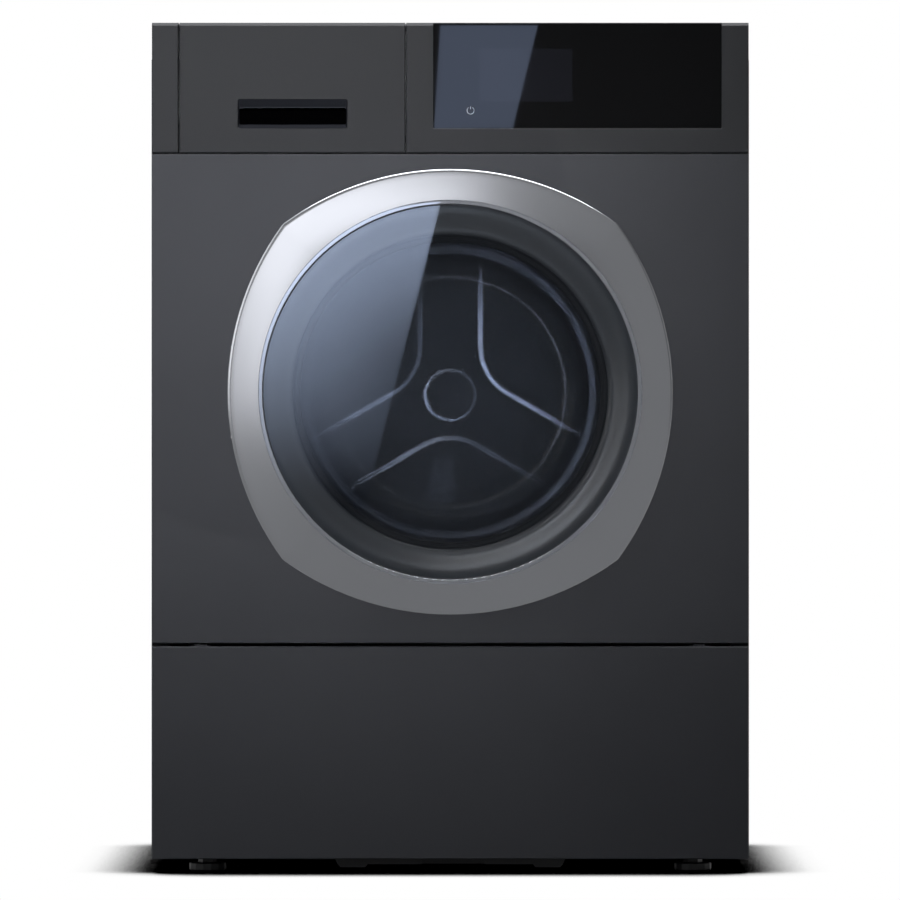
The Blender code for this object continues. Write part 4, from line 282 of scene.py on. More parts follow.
def lofted(loops):
    """Loops joined one to the next and the last to the first."""
    bm = bmesh.new()
    rings = [ring(bm, loop) for loop in loops]
    joined(bm, rings + rings[:1])
    return bm


def facing_front(piece):
    """An open sheet turned so that its largest face looks to the front."""
    if max(piece.data.polygons, key=lambda face: face.area).normal.y > 0:
        piece.data.flip_normals()
    return piece


def turned(profile, steps=ROUND_STEPS, closed=True):
    """A profile of (radius, depth) points turned round the Y axis. An open one ends on the axis."""
    bm = bmesh.new()
    columns = []
    for step in range(steps):
        t = FULL_TURN * step / steps
        columns.append([bm.verts.new((r * math.cos(t), depth, r * math.sin(t))) for r, depth in profile])
    rows = len(profile)
    for first, second in zip(columns, columns[1:] + columns[:1]):
        for i in range(rows if closed else rows - 1):
            j = (i + 1) % rows
            bm.faces.new((first[i], first[j], second[j], second[i]))
    bmesh.ops.remove_doubles(bm, verts=bm.verts, dist=WELD)
    return bm


def prism(outline, start, end, axis):
    bm = bmesh.new()
    near, far = (ring(bm, lay(outline, level, axis)) for level in (start, end))
    fill(bm, near)
    fill(bm, far)
    bridge(bm, near, far)
    return bm


def block(corner, opposite):
    left, front, bottom = corner
    right, back, top = opposite
    return prism([(left, bottom), (right, bottom), (right, top), (left, top)], front, back, "Y")


def made(name, bm, look, at=CABINET):
    """An object with its place in its mesh, smooth but for its sharp edges."""
    bmesh.ops.recalc_face_normals(bm, faces=bm.faces)
    bmesh.ops.translate(bm, verts=bm.verts, vec=at)
    mesh = bpy.data.meshes.new(name)
    bm.to_mesh(mesh)
    bm.free()
    mesh.materials.append(look)
    mesh.shade_smooth()
    mesh.set_sharp_from_angle(angle=SHARP)
    piece = bpy.data.objects.new(name, mesh)
    bpy.context.scene.collection.objects.link(piece)
    return piece


def applied(piece):
    """The piece with its modifiers made part of its mesh."""
    graph = bpy.context.evaluated_depsgraph_get()
    mesh = bpy.data.meshes.new_from_object(piece.evaluated_get(graph))
    piece.modifiers.clear()
    piece.data = mesh
    return piece


def walled_sheet(piece, wall):
    thickness = piece.modifiers.new("wall", "SOLIDIFY")
    thickness.thickness = wall
    thickness.offset = -1.0
    thickness.use_even_offset = True
    return applied(piece)


def trimmed(piece, *cutters):
    """Takes the cutters out of the piece."""
    helpers = []
    for bm in cutters:
        helper = made("cutter", bm, piece.data.materials[0], ORIGIN)
        step = piece.modifiers.new("cut", "BOOLEAN")
        step.solver = "EXACT"
        step.object = helper
        helpers.append(helper)
    applied(piece)
    piece.data.set_sharp_from_angle(angle=SHARP)
    for helper in helpers:
        bpy.data.objects.remove(helper)


def shaded(piece):
    """Keeps the piece's large flat faces flat in shading beside their small roundings."""
    weighted = piece.modifiers.new("shading", "WEIGHTED_NORMAL")
    weighted.mode = "FACE_AREA"
    weighted.weight = 100
    weighted.keep_sharp = True
    applied(piece)


def placed(piece, body, slot, *replaced):
    shaded(piece)
    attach(piece, body)
    if replaced:
        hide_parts(*replaced)


# Materials


def shader_tree(name):
    look = bpy.data.materials.new(name)
    look.use_nodes = True
    return look, look.node_tree, look.node_tree.nodes["Principled BSDF"]


def noise(tree, scale, detail, stretch=(1, 1, 1)):
    """A noise in real metres: its scale is in waves per metre."""
    place = tree.nodes.new("ShaderNodeTexCoord")
    mapping = tree.nodes.new("ShaderNodeMapping")
    mapping.inputs["Scale"].default_value = stretch
    texture = tree.nodes.new("ShaderNodeTexNoise")
    texture.inputs["Scale"].default_value = scale
    texture.inputs["Detail"].default_value = detail
    tree.links.new(place.outputs["Object"], mapping.inputs["Vector"])
    tree.links.new(mapping.outputs["Vector"], texture.inputs["Vector"])
    return texture.outputs["Fac"]


def spread(tree, source, start, end):
    """The middle of a noise stretched between two values."""
    stretch = tree.nodes.new("ShaderNodeMapRange")
    stretch.inputs["From Min"].default_value = 0.3
    stretch.inputs["From Max"].default_value = 0.7
    stretch.inputs["To Min"].default_value = start
    stretch.inputs["To Max"].default_value = end
    tree.links.new(source, stretch.inputs["Value"])
    return stretch.outputs["Result"]


def tinted(tree, factor, first, second):
    mix = tree.nodes.new("ShaderNodeMix")
    mix.data_type = "RGBA"
    mix.inputs[6].default_value = (*first, 1.0)
    mix.inputs[7].default_value = (*second, 1.0)
    tree.links.new(factor, mix.inputs[0])
    return mix.outputs[2]


def bumped(tree, shader, height, depth):
    bump = tree.nodes.new("ShaderNodeBump")
    bump.inputs["Strength"].default_value = 1.0
    bump.inputs["Distance"].default_value = depth
    tree.links.new(height, bump.inputs["Height"])
    tree.links.new(bump.outputs["Normal"], shader.inputs["Normal"])


def finish(
    name,
    colour,
    roughness,
    metallic=0.0,
    shift=0.06,
    rough_shift=0.04,
    patch=9.0,
    grain=900.0,
    depth=0.00002,
    specular=0.5,
):
    """A surface whose colour and roughness drift slowly over it, with a fine grain in its relief."""
    look, tree, shader = shader_tree(name)
    slow = noise(tree, patch, 4.0)
    darker = tuple(c * (1 - shift) for c in colour)
    lighter = tuple(min(1.0, c * (1 + shift)) for c in colour)
    tree.links.new(tinted(tree, spread(tree, slow, 0.0, 1.0), darker, lighter), shader.inputs["Base Color"])
    fine = noise(tree, grain, 2.0)
    satin = spread(tree, fine, roughness - rough_shift, roughness + rough_shift)
    tree.links.new(satin, shader.inputs["Roughness"])
    bumped(tree, shader, fine, depth)
    shader.inputs["Metallic"].default_value = metallic
    shader.inputs["Specular IOR Level"].default_value = specular
    return look


def graphite(name, roughness, grain, depth, colour=(0.049, 0.051, 0.058)):
    """A fine satin coat with a slight metallic sheen."""
    return finish(
        name,
        colour,
        roughness,
        metallic=0.10,
        shift=0.04,
        rough_shift=0.03,
        grain=grain,
        depth=depth,
        specular=0.2,
    )


def see_through(name, tint, alpha, edge_alpha, roughness, ior):
    """Glass that lets lamps through: it grows solid and mirror-like towards its edge."""
    look, tree, shader = shader_tree(name)
    edge = tree.nodes.new("ShaderNodeLayerWeight")
    edge.inputs["Blend"].default_value = 0.35
    stretch = tree.nodes.new("ShaderNodeMapRange")
    stretch.inputs["To Min"].default_value = alpha
    stretch.inputs["To Max"].default_value = edge_alpha
    tree.links.new(edge.outputs["Facing"], stretch.inputs["Value"])
    tree.links.new(stretch.outputs["Result"], shader.inputs["Alpha"])
    smear = noise(tree, 14.0, 4.0)
    tree.links.new(spread(tree, smear, roughness, roughness * 2), shader.inputs["Roughness"])
    tree.links.new(tinted(tree, smear, tint, tuple(c * 1.2 for c in tint)), shader.inputs["Base Color"])
    shader.inputs["IOR"].default_value = ior
    shader.inputs["Specular IOR Level"].default_value = 1.0
    return look


def perforated_steel(name):
    """Satin stainless with rows of small holes painted as dark dots, painted shade where the openings would
    be, laid out on the drum's wall by its UV map in metres.
    """
    look, tree, shader = shader_tree(name)
    place = tree.nodes.new("ShaderNodeUVMap")
    place.uv_map = "wall"
    dots = tree.nodes.new("ShaderNodeTexVoronoi")
    dots.voronoi_dimensions = "2D"
    dots.inputs["Scale"].default_value = 80.0
    dots.inputs["Randomness"].default_value = 0.0
    tree.links.new(place.outputs["UV"], dots.inputs["Vector"])
    rim = tree.nodes.new("ShaderNodeMapRange")
    rim.inputs["From Min"].default_value = 0.14
    rim.inputs["From Max"].default_value = 0.22
    tree.links.new(dots.outputs["Distance"], rim.inputs["Value"])
    # The holes are near-black dots of painted shade on a closed wall
    hole_shade, steel = (0.012, 0.012, 0.014), (0.50, 0.51, 0.54)
    tree.links.new(tinted(tree, rim.outputs["Result"], hole_shade, steel), shader.inputs["Base Color"])
    streaks = noise(tree, 500.0, 2.0, (1, 0.06, 1))
    tree.links.new(spread(tree, streaks, 0.24, 0.36), shader.inputs["Roughness"])
    bumped(tree, shader, rim.outputs["Result"], 0.0008)
    shader.inputs["Metallic"].default_value = 1.0
    return look


def metal(name, colour, roughness, **rest):
    return finish(name, colour, roughness, metallic=1.0, **rest)


LOOKS = {
    "graphite_paint": graphite("painted_graphite", 0.40, 1500.0, 0.00001),
    "graphite_moulding": graphite("moulded_graphite", 0.38, 2100.0, 0.000008),
    "satin_silver": metal(
        "satin_silver_coat",
        (0.60, 0.61, 0.64),
        0.19,
        shift=0.02,
        rough_shift=0.012,
        grain=2400.0,
        depth=0.0000012,
    ),
    "dark_plastic": finish("dark_grained_plastic", (0.022, 0.023, 0.026), 0.42, grain=1400.0),
    "grey_plastic": finish("grey_filled_plastic", (0.26, 0.27, 0.28), 0.52, grain=700.0, depth=0.00003),
    "white_plastic": finish("white_moulded_plastic", (0.70, 0.71, 0.72), 0.45),
    "black_glass": finish(
        "black_polished_glass",
        (0.0055, 0.0055, 0.006),
        0.010,
        shift=0.1,
        rough_shift=0.004,
        grain=20.0,
        depth=0.0,
    ),
    "clear_glass": see_through(
        "tinted_clear_glass",
        (0.010, 0.012, 0.016),
        alpha=0.30,
        edge_alpha=0.9,
        roughness=0.006,
        ior=2.0,
    ),
    "seal_rubber": finish("grey_seal_rubber", (0.040, 0.042, 0.046), 0.62, grain=500.0, depth=0.00004),
    "drum_steel": metal(
        "drum_satin_steel",
        (0.46, 0.48, 0.52),
        0.20,
        shift=0.05,
        rough_shift=0.02,
        grain=700.0,
        depth=0.000001,
    ),
    "zinc_steel": finish(
        "zinc_coated_steel",
        (0.46, 0.47, 0.48),
        0.42,
        metallic=0.9,
        shift=0.12,
        rough_shift=0.08,
        patch=30.0,
        grain=260.0,
    ),
    "cast_metal": finish(
        "dark_raw_casting",
        (0.10, 0.10, 0.11),
        0.72,
        metallic=0.3,
        grain=320.0,
        depth=0.00015,
    ),
    "cast_aluminium": finish(
        "raw_cast_aluminium",
        (0.50, 0.51, 0.53),
        0.48,
        metallic=0.9,
        grain=420.0,
        depth=0.00006,
    ),
}

# Finishes of single pieces, among them painted shade for the drum's end, the drawer's recess and the vent
# slits
# A darker, bluer copy of the drum steel for the drum's rear end: painted shade deep inside the drum
SHADED_DRUM_END_LOOK = metal(
    "pressed_drum_steel_painted_shade",
    (0.20, 0.215, 0.25),
    0.17,
    shift=0.05,
    rough_shift=0.02,
    grain=700.0,
    depth=0.000001,
)
DISH_LOOK = finish(
    "dark_satin_dish",
    (0.084, 0.096, 0.114),
    0.17,
    grain=1600.0,
    depth=0.000002,
    specular=1.0,
)
DISH_LOOK.node_tree.nodes["Principled BSDF"].inputs["IOR"].default_value = 1.9
BOWL_LOOK = see_through(
    "bowl_clear_glass",
    (0.006, 0.008, 0.012),
    alpha=0.08,
    edge_alpha=0.50,
    roughness=0.02,
    ior=1.7,
)
LIP_LOOK = see_through(
    "rim_clear_lacquer",
    (0.21, 0.22, 0.245),
    alpha=0.90,
    edge_alpha=0.95,
    roughness=0.006,
    ior=2.0,
)
CLAMP_LOOK = finish("bowl_clamp_black", (0.020, 0.022, 0.026), 0.40, grain=1300.0, depth=0.00001)
FASCIA_LOOK = graphite("fascia_graphite", 0.38, 2100.0, 0.000008, (0.030, 0.031, 0.0343))
# Near black that stands for shade in hollows and openings: painted shade
PAINTED_SHADE_LOOK = finish(
    "painted_shade_black",
    (0.0006, 0.0006, 0.0008),
    0.5,
    grain=1500.0,
    depth=0.00001,
    specular=0.0,
)
# A darker, bluer copy of the fascia graphite for the recess's slopes: painted shade
NECK_SHADE_LOOK = finish("recess_graphite_painted_shade", (0.025, 0.027, 0.034), 0.45, grain=1500.0, depth=0.00001, specular=0.15)
CAP_LOOK = finish("filter_cap_grey", (0.15, 0.155, 0.165), 0.45, grain=1100.0)

# Every node takes the finish of its slot in the record
SLOTS = {}
for node in NODES.values():
    for held in node.material_slots:
        SLOTS[node.name] = held.material.name.split(".")[0]
        held.material = LOOKS[SLOTS[node.name]]
SPECIAL = {
    "fascia_end_cap": FASCIA_LOOK,
    "drawer_front": FASCIA_LOOK,
    "control_fascia": FASCIA_LOOK,
    "filter_cap": CAP_LOOK,
}
for name, look in SPECIAL.items():
    for held in NODES[name].material_slots:
        held.material = look


# Door


def ring_outline():
    """Four large arcs joined by small ones at the diagonals, starting at the right."""
    reach = RING_ARC_R - RING_HALF
    inner = RING_ARC_R - RING_CORNER_R
    corner = (math.sqrt(2 * inner**2 - reach**2) - reach) / 2
    sweep = math.atan2(corner, corner + reach)
    outline = []
    for quarter in range(4):
        side = arc((-reach, 0), RING_ARC_R, -sweep, sweep, RING_ARC_STEPS)
        rounding = arc((corner, corner), RING_CORNER_R, sweep, QUARTER_TURN - sweep, RING_CORNER_STEPS)
        outline += turned_about(side[:-1] + rounding[:-1], quarter * QUARTER_TURN)
    return outline


def ring_loop(outline, width_share, inset, proud):
    loop = []
    for x, z in outline:
        reach = math.hypot(x, z)
        radius = RING_INNER_R + (reach - RING_INNER_R) * width_share - inset
        loop.append((x / reach * radius, -proud, z / reach * radius))
    return loop


def door_ring():
    """The silver ring: a lip round the pane, a face that falls away evenly, and a bright bevel at its rim."""
    face_end = RING_FRONT - RING_SLOPE
    pane_front = FRONT_Y - low("cover_pane").y
    pane_back = FRONT_Y - high("cover_pane").y
    lip_front = pane_front + SKIN * 4
    section = [
        (0, RING_LIP, lip_front),
        (0, RING_LIP - SKIN * 2, lip_front + SKIN * 2),
        (0, SKIN * 4, lip_front + SKIN * 2),
        (0, SKIN * 3, RING_FRONT - SKIN * 2),
        (0, SKIN * 1.5, RING_FRONT),
    ]
    section += [(share, 0, RING_FRONT - RING_SLOPE * share**1.15) for share in (0.15, 0.35, 0.55, 0.75, 0.9)]
    section += [
        (1, RING_BEVEL, face_end),
        (1, 0, face_end - RING_BEVEL),
        (1, 0, RING_BACK + SKIN * 6),
        (1, SKIN * 4, RING_BACK),
        (1, RING_WALL, RING_BACK),
        (1, RING_WALL, face_end - RING_WALL),
        (0.5, RING_WALL / 2, RING_FRONT - RING_SLOPE / 2 - RING_WALL),
    ]
    channel = half_width("door_back_frame") + SKIN * 6 - RING_INNER_R
    section += [
        (0, -channel, RING_FRONT - RING_WALL - SKIN * 6),
        (0, -channel, pane_back),
        (0, RING_LIP, pane_back),
    ]
    outline = ring_outline()
    loops = [ring_loop(outline, *place) for place in section]
    body = made("silver_ring", lofted(loops), LOOKS["satin_silver"], AXIS)
    cutters = []
    notches = ((-1, HINGE_NOTCH_HALF, HINGE_NOTCH_PROUD), (1, GRIP_NOTCH_HALF, GRIP_NOTCH_PROUD))
    for side, half, proud in notches:
        ends = sorted((side * (RING_HALF - NOTCH_DEPTH), side * (RING_HALF + OVERRUN)))
        notch = block((ends[0], -proud, -half), (ends[1], OVERRUN, half))
        bmesh.ops.translate(notch, verts=notch.verts, vec=AXIS)
        cutters.append(notch)
    trimmed(body, *cutters)
    placed(body, "door", "satin_silver", "door_ring")
    front = lip_front + SKIN * 3
    path = [
        (RING_INNER_R - RING_LIP - SKIN * 2, pane_front + SKIN),
        (RING_INNER_R - RING_LIP + SKIN * 2, front),
        (RING_INNER_R - SKIN * 5, front),
        (RING_INNER_R - SKIN * 5, lip_front + SKIN),
    ]
    rim = made("ring_rim", turned([(r, -proud) for r, proud in filleted(path, 0.0001)]), LIP_LOOK, AXIS)
    placed(rim, "door", "satin_silver")


def cover_pane():
    front, back = low("cover_pane").y - FRONT_Y, high("cover_pane").y - FRONT_Y
    radius = half_width("cover_pane")
    path = filleted([(0, back), (radius, back), (radius, front), (0, front)], 0.0008)
    pane = made("glass_pane", turned(path, closed=False), LOOKS["clear_glass"], AXIS)
    placed(pane, "door", "clear_glass", "cover_pane")


def inner_frame():
    """The dark dish behind the pane: a flat rim, a long hollow slope and a thin inner edge."""
    outer = half_width("door_inner_frame")
    top = low("door_inner_frame").y - FRONT_Y
    end = top + DISH_FALL
    path = [(outer, top), (outer - 0.0052, top)]
    shares = ((0.08, 0.02), (0.30, 0.17), (0.52, 0.44), (0.72, 0.74), (0.86, 0.92), (1.0, 1.0))
    slope_r, edge_r = outer - 0.0054, DISH_INNER_R + 0.0030
    for across, down in shares:
        path.append((slope_r + (edge_r - slope_r) * across, top + DISH_FALL * down))
    path += [(DISH_INNER_R + 0.0006, end + 0.0016), (DISH_INNER_R, end + 0.0040), (DISH_INNER_R, DISH_FOOT)]
    profile = walled(filleted(path[::-1], 0.003), DISH_WALL)
    dish = made("dark_dish", turned(profile), DISH_LOOK, AXIS)
    placed(dish, "door", "dark_plastic", "door_inner_frame")


def bowl():
    """The glass bowl: a flange, a steep wall and a flat domed end."""
    flange_back = FRONT_Y - low("door_bowl").y - BOWL_WALL
    end = high("door_bowl").y - FRONT_Y
    flange_r = half_width("door_bowl")
    path = [
        (0, end - BOWL_WALL * 0.1),
        (0.060, end),
        (0.118, end - 0.003),
        (0.132, end - 0.012),
        (0.139, end - 0.040),
        (0.146, BOWL_WALL - flange_back),
        (0.151, -flange_back),
        (flange_r, -flange_back),
    ]
    domed_from, end_share = 0.05, end / (end + BOWL_WALL)
    path = [(r, depth * end_share if depth > domed_from else depth) for r, depth in path]
    smooth = filleted(path, 0.010, steps=8)
    profile = smooth + offset_path(smooth, BOWL_WALL)[::-1]
    profile[-1].x = 0
    glass = made("glass_bowl", turned(profile, closed=False), BOWL_LOOK, AXIS)
    placed(glass, "door", "clear_glass", "door_bowl")


def bowl_clamp():
    """The thin grooved ring that holds the bowl's flange, just inside the dish."""
    back = low("door_bowl").y - FRONT_Y - SKIN
    front, groove = back - CLAMP_RISE, back - CLAMP_RISE * 0.3
    path = [(CLAMP_INNER_R, back), (CLAMP_INNER_R, front)]
    r = CLAMP_INNER_R + CLAMP_PITCH * 0.6
    while r + CLAMP_PITCH < CLAMP_OUTER_R:
        path += [(r, front), (r + CLAMP_PITCH * 0.2, groove), (r + CLAMP_PITCH * 0.4, front)]
        r += CLAMP_PITCH
    path += [(CLAMP_OUTER_R, front), (CLAMP_OUTER_R, back)]
    clamp = made("bowl_clamp_ring", turned(path), CLAMP_LOOK, AXIS)
    placed(clamp, "door", "dark_plastic")


door_ring()
cover_pane()
inner_frame()
bowl()
bowl_clamp()


# Drum


def pad_outline(inset):
    """The outline, drawn in by an inset, of the raised field between two arms, pointing right."""
    lean = THIRD_TURN / 2
    arm = STAR_ARM_HALF + inset
    inner_r = STAR_CORNER_R - inset
    corner_r = PAD_CORNER_R - inset
    outer_r = PAD_R - inset
    inner_centre = ((arm + inner_r) / math.sin(lean), 0)
    along = math.sqrt((outer_r - corner_r) ** 2 - (arm + corner_r) ** 2)
    upper = (
        along * math.cos(lean) + (arm + corner_r) * math.sin(lean),
        along * math.sin(lean) - (arm + corner_r) * math.cos(lean),
    )
    bearing = math.atan2(upper[1], upper[0])
    square = lean + QUARTER_TURN
    outline = arc(inner_centre, inner_r, FULL_TURN - square, square, PAD_ARC_STEPS * 2)
    outline += arc(upper, corner_r, square, bearing, PAD_ARC_STEPS)
    outline += arc((0, 0), outer_r, bearing, -bearing, PAD_ARC_STEPS * 3)[1:-1]
    outline += arc((upper[0], -upper[1]), corner_r, -bearing, -square, PAD_ARC_STEPS)
    return outline


def drum_end():
    """The pressed rear end: a three-armed star stays low between raised fields, round a low boss."""
    rear = high("drum_back").y - FRONT_Y - DRUM_RIM
    bm = bmesh.new()
    rim = ring(bm, lay(circle(DRUM_R, ROUND_STEPS), rear, "Y"))
    skirt = ring(bm, lay(circle(DRUM_R, ROUND_STEPS), rear + DRUM_RIM, "Y"))
    bridge(bm, rim, skirt)
    feet = []
    for number in range(3):
        turn = THIRD_TURN / 4 + THIRD_TURN * number
        levels = []
        for across, up in PRESSED_STEPS:
            outline = turned_about(pad_outline(PAD_SLOPE * across), turn)
            levels.append(ring(bm, lay(outline, rear - PAD_RISE * up, "Y")))
        joined(bm, levels)
        fill(bm, levels[-1])
        feet.append(levels[0])
    levels = [
        ring(bm, lay(circle(BOSS_R - BOSS_SLOPE * across, ROUND_STEPS // 2), rear - BOSS_RISE * up, "Y"))
        for across, up in PRESSED_STEPS
    ]
    joined(bm, levels)
    fill(bm, levels[-1])
    fill(bm, rim, levels[0], *feet)
    # The end takes the darker drum steel, which is painted shade
    end = walled_sheet(facing_front(made("drum_end", bm, SHADED_DRUM_END_LOOK, AXIS)), SHEET)
    placed(end, "drum", "drum_steel", "drum_back")


def drum_wall():
    """The mantle as a finely stepped sheet, with a UV map in metres for its holes."""
    front, rear = low("drum_mantle").y - FRONT_Y, high("drum_mantle").y - FRONT_Y
    inner = DRUM_R - SHEET
    wall = made(
        "drum_wall",
        turned([(inner, front), (DRUM_R, front), (DRUM_R, rear), (inner, rear)]),
        perforated_steel("perforated_drum_steel"),
        AXIS,
    )
    chart = wall.data.uv_layers.new(name="wall")
    for face in wall.data.polygons:
        turns = []
        for corner in face.loop_indices:
            place = wall.data.vertices[wall.data.loops[corner].vertex_index].co - AXIS
            turns.append(math.atan2(place.z, place.x))
        if max(turns) - min(turns) > HALF_TURN:
            turns = [turn + FULL_TURN if turn < 0 else turn for turn in turns]
        for corner, turn in zip(face.loop_indices, turns):
            place = wall.data.vertices[wall.data.loops[corner].vertex_index].co - AXIS
            chart.data[corner].uv = (turn * DRUM_R, place.y)
    placed(wall, "drum", "drum_steel", "drum_mantle")


def drum_mouth():
    """The drum's front end with its rolled mouth and the rim that laps the wall."""
    rolled, lap, outer_r = 0.016, 0.0117, DRUM_R - 0.0005
    front = low("drum_front").y - FRONT_Y
    path = [
        (DRUM_MOUTH_R, front + rolled),
        (DRUM_MOUTH_R, front),
        (outer_r, front),
        (outer_r, front + lap),
    ]
    path = filleted(path, 0.007)
    mouth = made("drum_mouth", turned(walled(path, SHEET)), LOOKS["drum_steel"], AXIS)
    placed(mouth, "drum", "drum_steel", "drum_front")


def gasket():
    """The bellows between the cabinet's front and the tub, as one piece that stays where it is."""
    wall = 0.0025
    front = low("door_gasket").y - FRONT_Y
    rear = high("door_gasket").y - FRONT_Y
    bead = half_width("door_gasket") - wall / 2
    centre = [
        (0.1515, 0.013),
        (0.1540, 0.002),
        (bead - wall * 1.4, front + wall / 2),
        (bead, 0.0025),
        (bead, 0.0135),
        (0.1590, 0.017),
        (0.1590, 0.022),
        (0.1645, 0.030),
        (0.1640, 0.036),
        (0.1640, rear),
    ]
    path = filleted(centre, 0.003)
    profile = walled(offset_path(path, -wall / 2), wall)
    seal = made("rubber_bellows", turned(profile), LOOKS["seal_rubber"], AXIS)
    shaded(seal)
    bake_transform(seal)
    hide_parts("door_gasket")


def flexible(name, node, hold):
    """A spring or hose copied from its node into a piece of its own, which stays where it is."""
    bm = bmesh.new()
    bm.from_mesh(NODES[node].data)
    bmesh.ops.remove_doubles(bm, verts=bm.verts, dist=WELD)
    piece = made(name, bm, LOOKS[SLOTS[node]], ORIGIN)
    top, foot = middle(node), middle(node)
    top.z, foot.z = high(node).z - hold, low(node).z + hold
    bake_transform(piece)
    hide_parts(node)


drum_end()
drum_wall()
drum_mouth()
gasket()
flexible("left_suspension_coil", "suspension_spring_left", 0.015)
flexible("right_suspension_coil", "suspension_spring_right", 0.015)
flexible("fill_bellows", "fill_hose", 0.014)
flexible("sump_bellows", "sump_hose", 0.014)


# Front of the cabinet


def front_panel():
    """The large front sheet with rounded edges and a finely rounded door mouth."""
    left, right = low("front_panel").x, high("front_panel").x
    bottom, top = low("front_panel").z - AXIS.z, high("front_panel").z - AXIS.z
    depth = high("front_panel").y - FRONT_Y
    bm = bmesh.new()
    levels = [(SHEET_EDGE * (1 - math.cos(t)), SHEET_EDGE * (1 - math.sin(t))) for t in EDGE_TURNS[::-1]]
    levels.append((0, depth))
    rims = []
    for inset, back in levels:
        outline = [
            (left + inset, bottom + inset),
            (right - inset, bottom + inset),
            (right - inset, top - inset),
            (left + inset, top - inset),
        ]
        rims.append(ring(bm, lay(outline, back, "Y")))
    joined(bm, rims)
    mouth = []
    for t in MOUTH_TURNS:
        loop = circle(MOUTH_R + MOUTH_ROUNDING * (1 - math.sin(t)), ROUND_STEPS)
        mouth.append(ring(bm, lay(loop, MOUTH_ROUNDING * (1 - math.cos(t)), "Y")))
    mouth.append(ring(bm, lay(circle(MOUTH_R, ROUND_STEPS), MOUTH_DEPTH, "Y")))
    joined(bm, mouth)
    latch_slot = ring(bm, lay(rounded(*LATCH_SLOT, LATCH_SLOT_CORNER_R), 0, "Y"))
    fill(bm, rims[0], mouth[0], latch_slot)
    panel = walled_sheet(facing_front(made("front_sheet", bm, LOOKS["graphite_paint"], AXIS)), SHEET)
    placed(panel, "cabinet", "graphite_paint", "front_panel")


def power_mark():
    """The open ring with a bar that marks the power field, printed on the control glass."""
    radius, line = 0.0035, 0.00022
    gap = math.radians(30)
    centre = (0.0203, 0.7622)
    bar_foot, bar_top = centre[1] + 0.0012, centre[1] + 0.0042
    start = QUARTER_TURN + gap
    outer = arc(centre, radius + line, start, start + FULL_TURN - 2 * gap, 40)
    inner = arc(centre, radius - line, start + FULL_TURN - 2 * gap, start, 40)
    look = finish("pale_print", (0.62, 0.64, 0.66), 0.5, grain=2000.0, depth=0.000004)
    mark = made("power_ring_print", prism(outer + inner, -SKIN, SKIN, "Y"), look)
    placed(mark, "cabinet", "black_glass")
    bar = rounded(centre[0] - line, centre[0] + line, bar_foot, bar_top, line * 0.9, 3)
    stroke = made("power_bar_print", prism(bar, -SKIN, SKIN, "Y"), look)
    placed(stroke, "cabinet", "black_glass")


def display():
    """The display's lit area, a faintly lighter field under the control glass's surface."""
    look = finish(
        "dark_display",
        (0.0100, 0.0104, 0.0135),
        0.010,
        shift=0.1,
        rough_shift=0.004,
        grain=40.0,
        depth=0.0,
    )
    field = rounded(*DISPLAY, DISPLAY_CORNER_R)
    panel = made("display_field", prism(field, -SKIN / 2, SKIN, "Y"), look)
    placed(panel, "cabinet", "black_glass")


def recess_liner():
    """Painted shade in the drawer's finger recess: a darker copy of the graphite on its slopes and its thin
    front-facing edge, and a near-black sheet over its hollow.
    """
    neck, depth = 0.0093, 0.0168
    side_slope, lower_slope, upper_slope = 0.0012, 0.0040, 0.0076
    left, right, bottom, top = -0.2124, -0.1026, 0.7442, 0.7738
    gap = SKIN * 2
    left, right, bottom, top = left + gap, right - gap, bottom + gap, top - gap
    mouth = rounded(left, right, bottom, top, 0.002)
    left, right, bottom, top = left + side_slope, right - side_slope, bottom + lower_slope, top - upper_slope
    throat = rounded(left, right, bottom, top, 0.002)
    hollow = rounded(left + SKIN, right - SKIN, bottom + SKIN, top - SKIN * 8, 0.0018)
    bm = bmesh.new()
    levels = ((mouth, 0), (throat, neck - SKIN), (hollow, neck))
    joined(bm, [ring(bm, lay(loop, level, "Y")) for loop, level in levels])
    # The slopes and the front-facing edge are darker graphite, painted shade
    placed(facing_front(made("recess_neck", bm, NECK_SHADE_LOOK)), "drawer", "graphite_moulding")
    bm = bmesh.new()
    rings = [ring(bm, lay(hollow, level, "Y")) for level in (neck, depth)]
    joined(bm, rings)
    fill(bm, rings[-1])
    # The hollow's back and walls are a near-black sheet of painted shade
    placed(facing_front(made("recess_liner", bm, PAINTED_SHADE_LOOK)), "drawer", "graphite_moulding")


def glass_highlight_line():
    """A thin light strip under the control glass: a painted highlight on its lower edge."""
    height = 0.0004
    left, right, bottom = low("control_glass").x, high("control_glass").x, low("control_glass").z
    look = finish("glass_edge_painted_highlight", (0.10, 0.105, 0.115), 0.4, grain=2000.0, depth=0.000004)
    line = made("glass_lower_edge", block((left, -SKIN, bottom - height), (right, SKIN, bottom)), look)
    placed(line, "cabinet", "black_glass")


front_panel()
glass_highlight_line()
recess_liner()
power_mark()
display()


# Rear


def copies(piece, places):
    """One mesh of a small piece at each of its places."""
    bm = bmesh.new()
    for place in places:
        start = len(bm.verts)
        bm.from_mesh(piece.data)
        bm.verts.ensure_lookup_table()
        bmesh.ops.translate(bm, verts=bm.verts[start:], vec=place)
    look = piece.data.materials[0]
    bpy.data.objects.remove(piece)
    return bm, look


def scattered(name, piece, places, body, slot):
    """One piece made of copies of a small one."""
    bm, look = copies(piece, places)
    placed(made(name, bm, look, ORIGIN), body, slot)


def surface_y(node, x, z, start):
    """Where a node's surface is met from behind at a place."""
    found, place, _, _ = NODES[node].ray_cast(Vector((x, start, z)), Vector((0, -1, 0)))
    return place.y if found else None


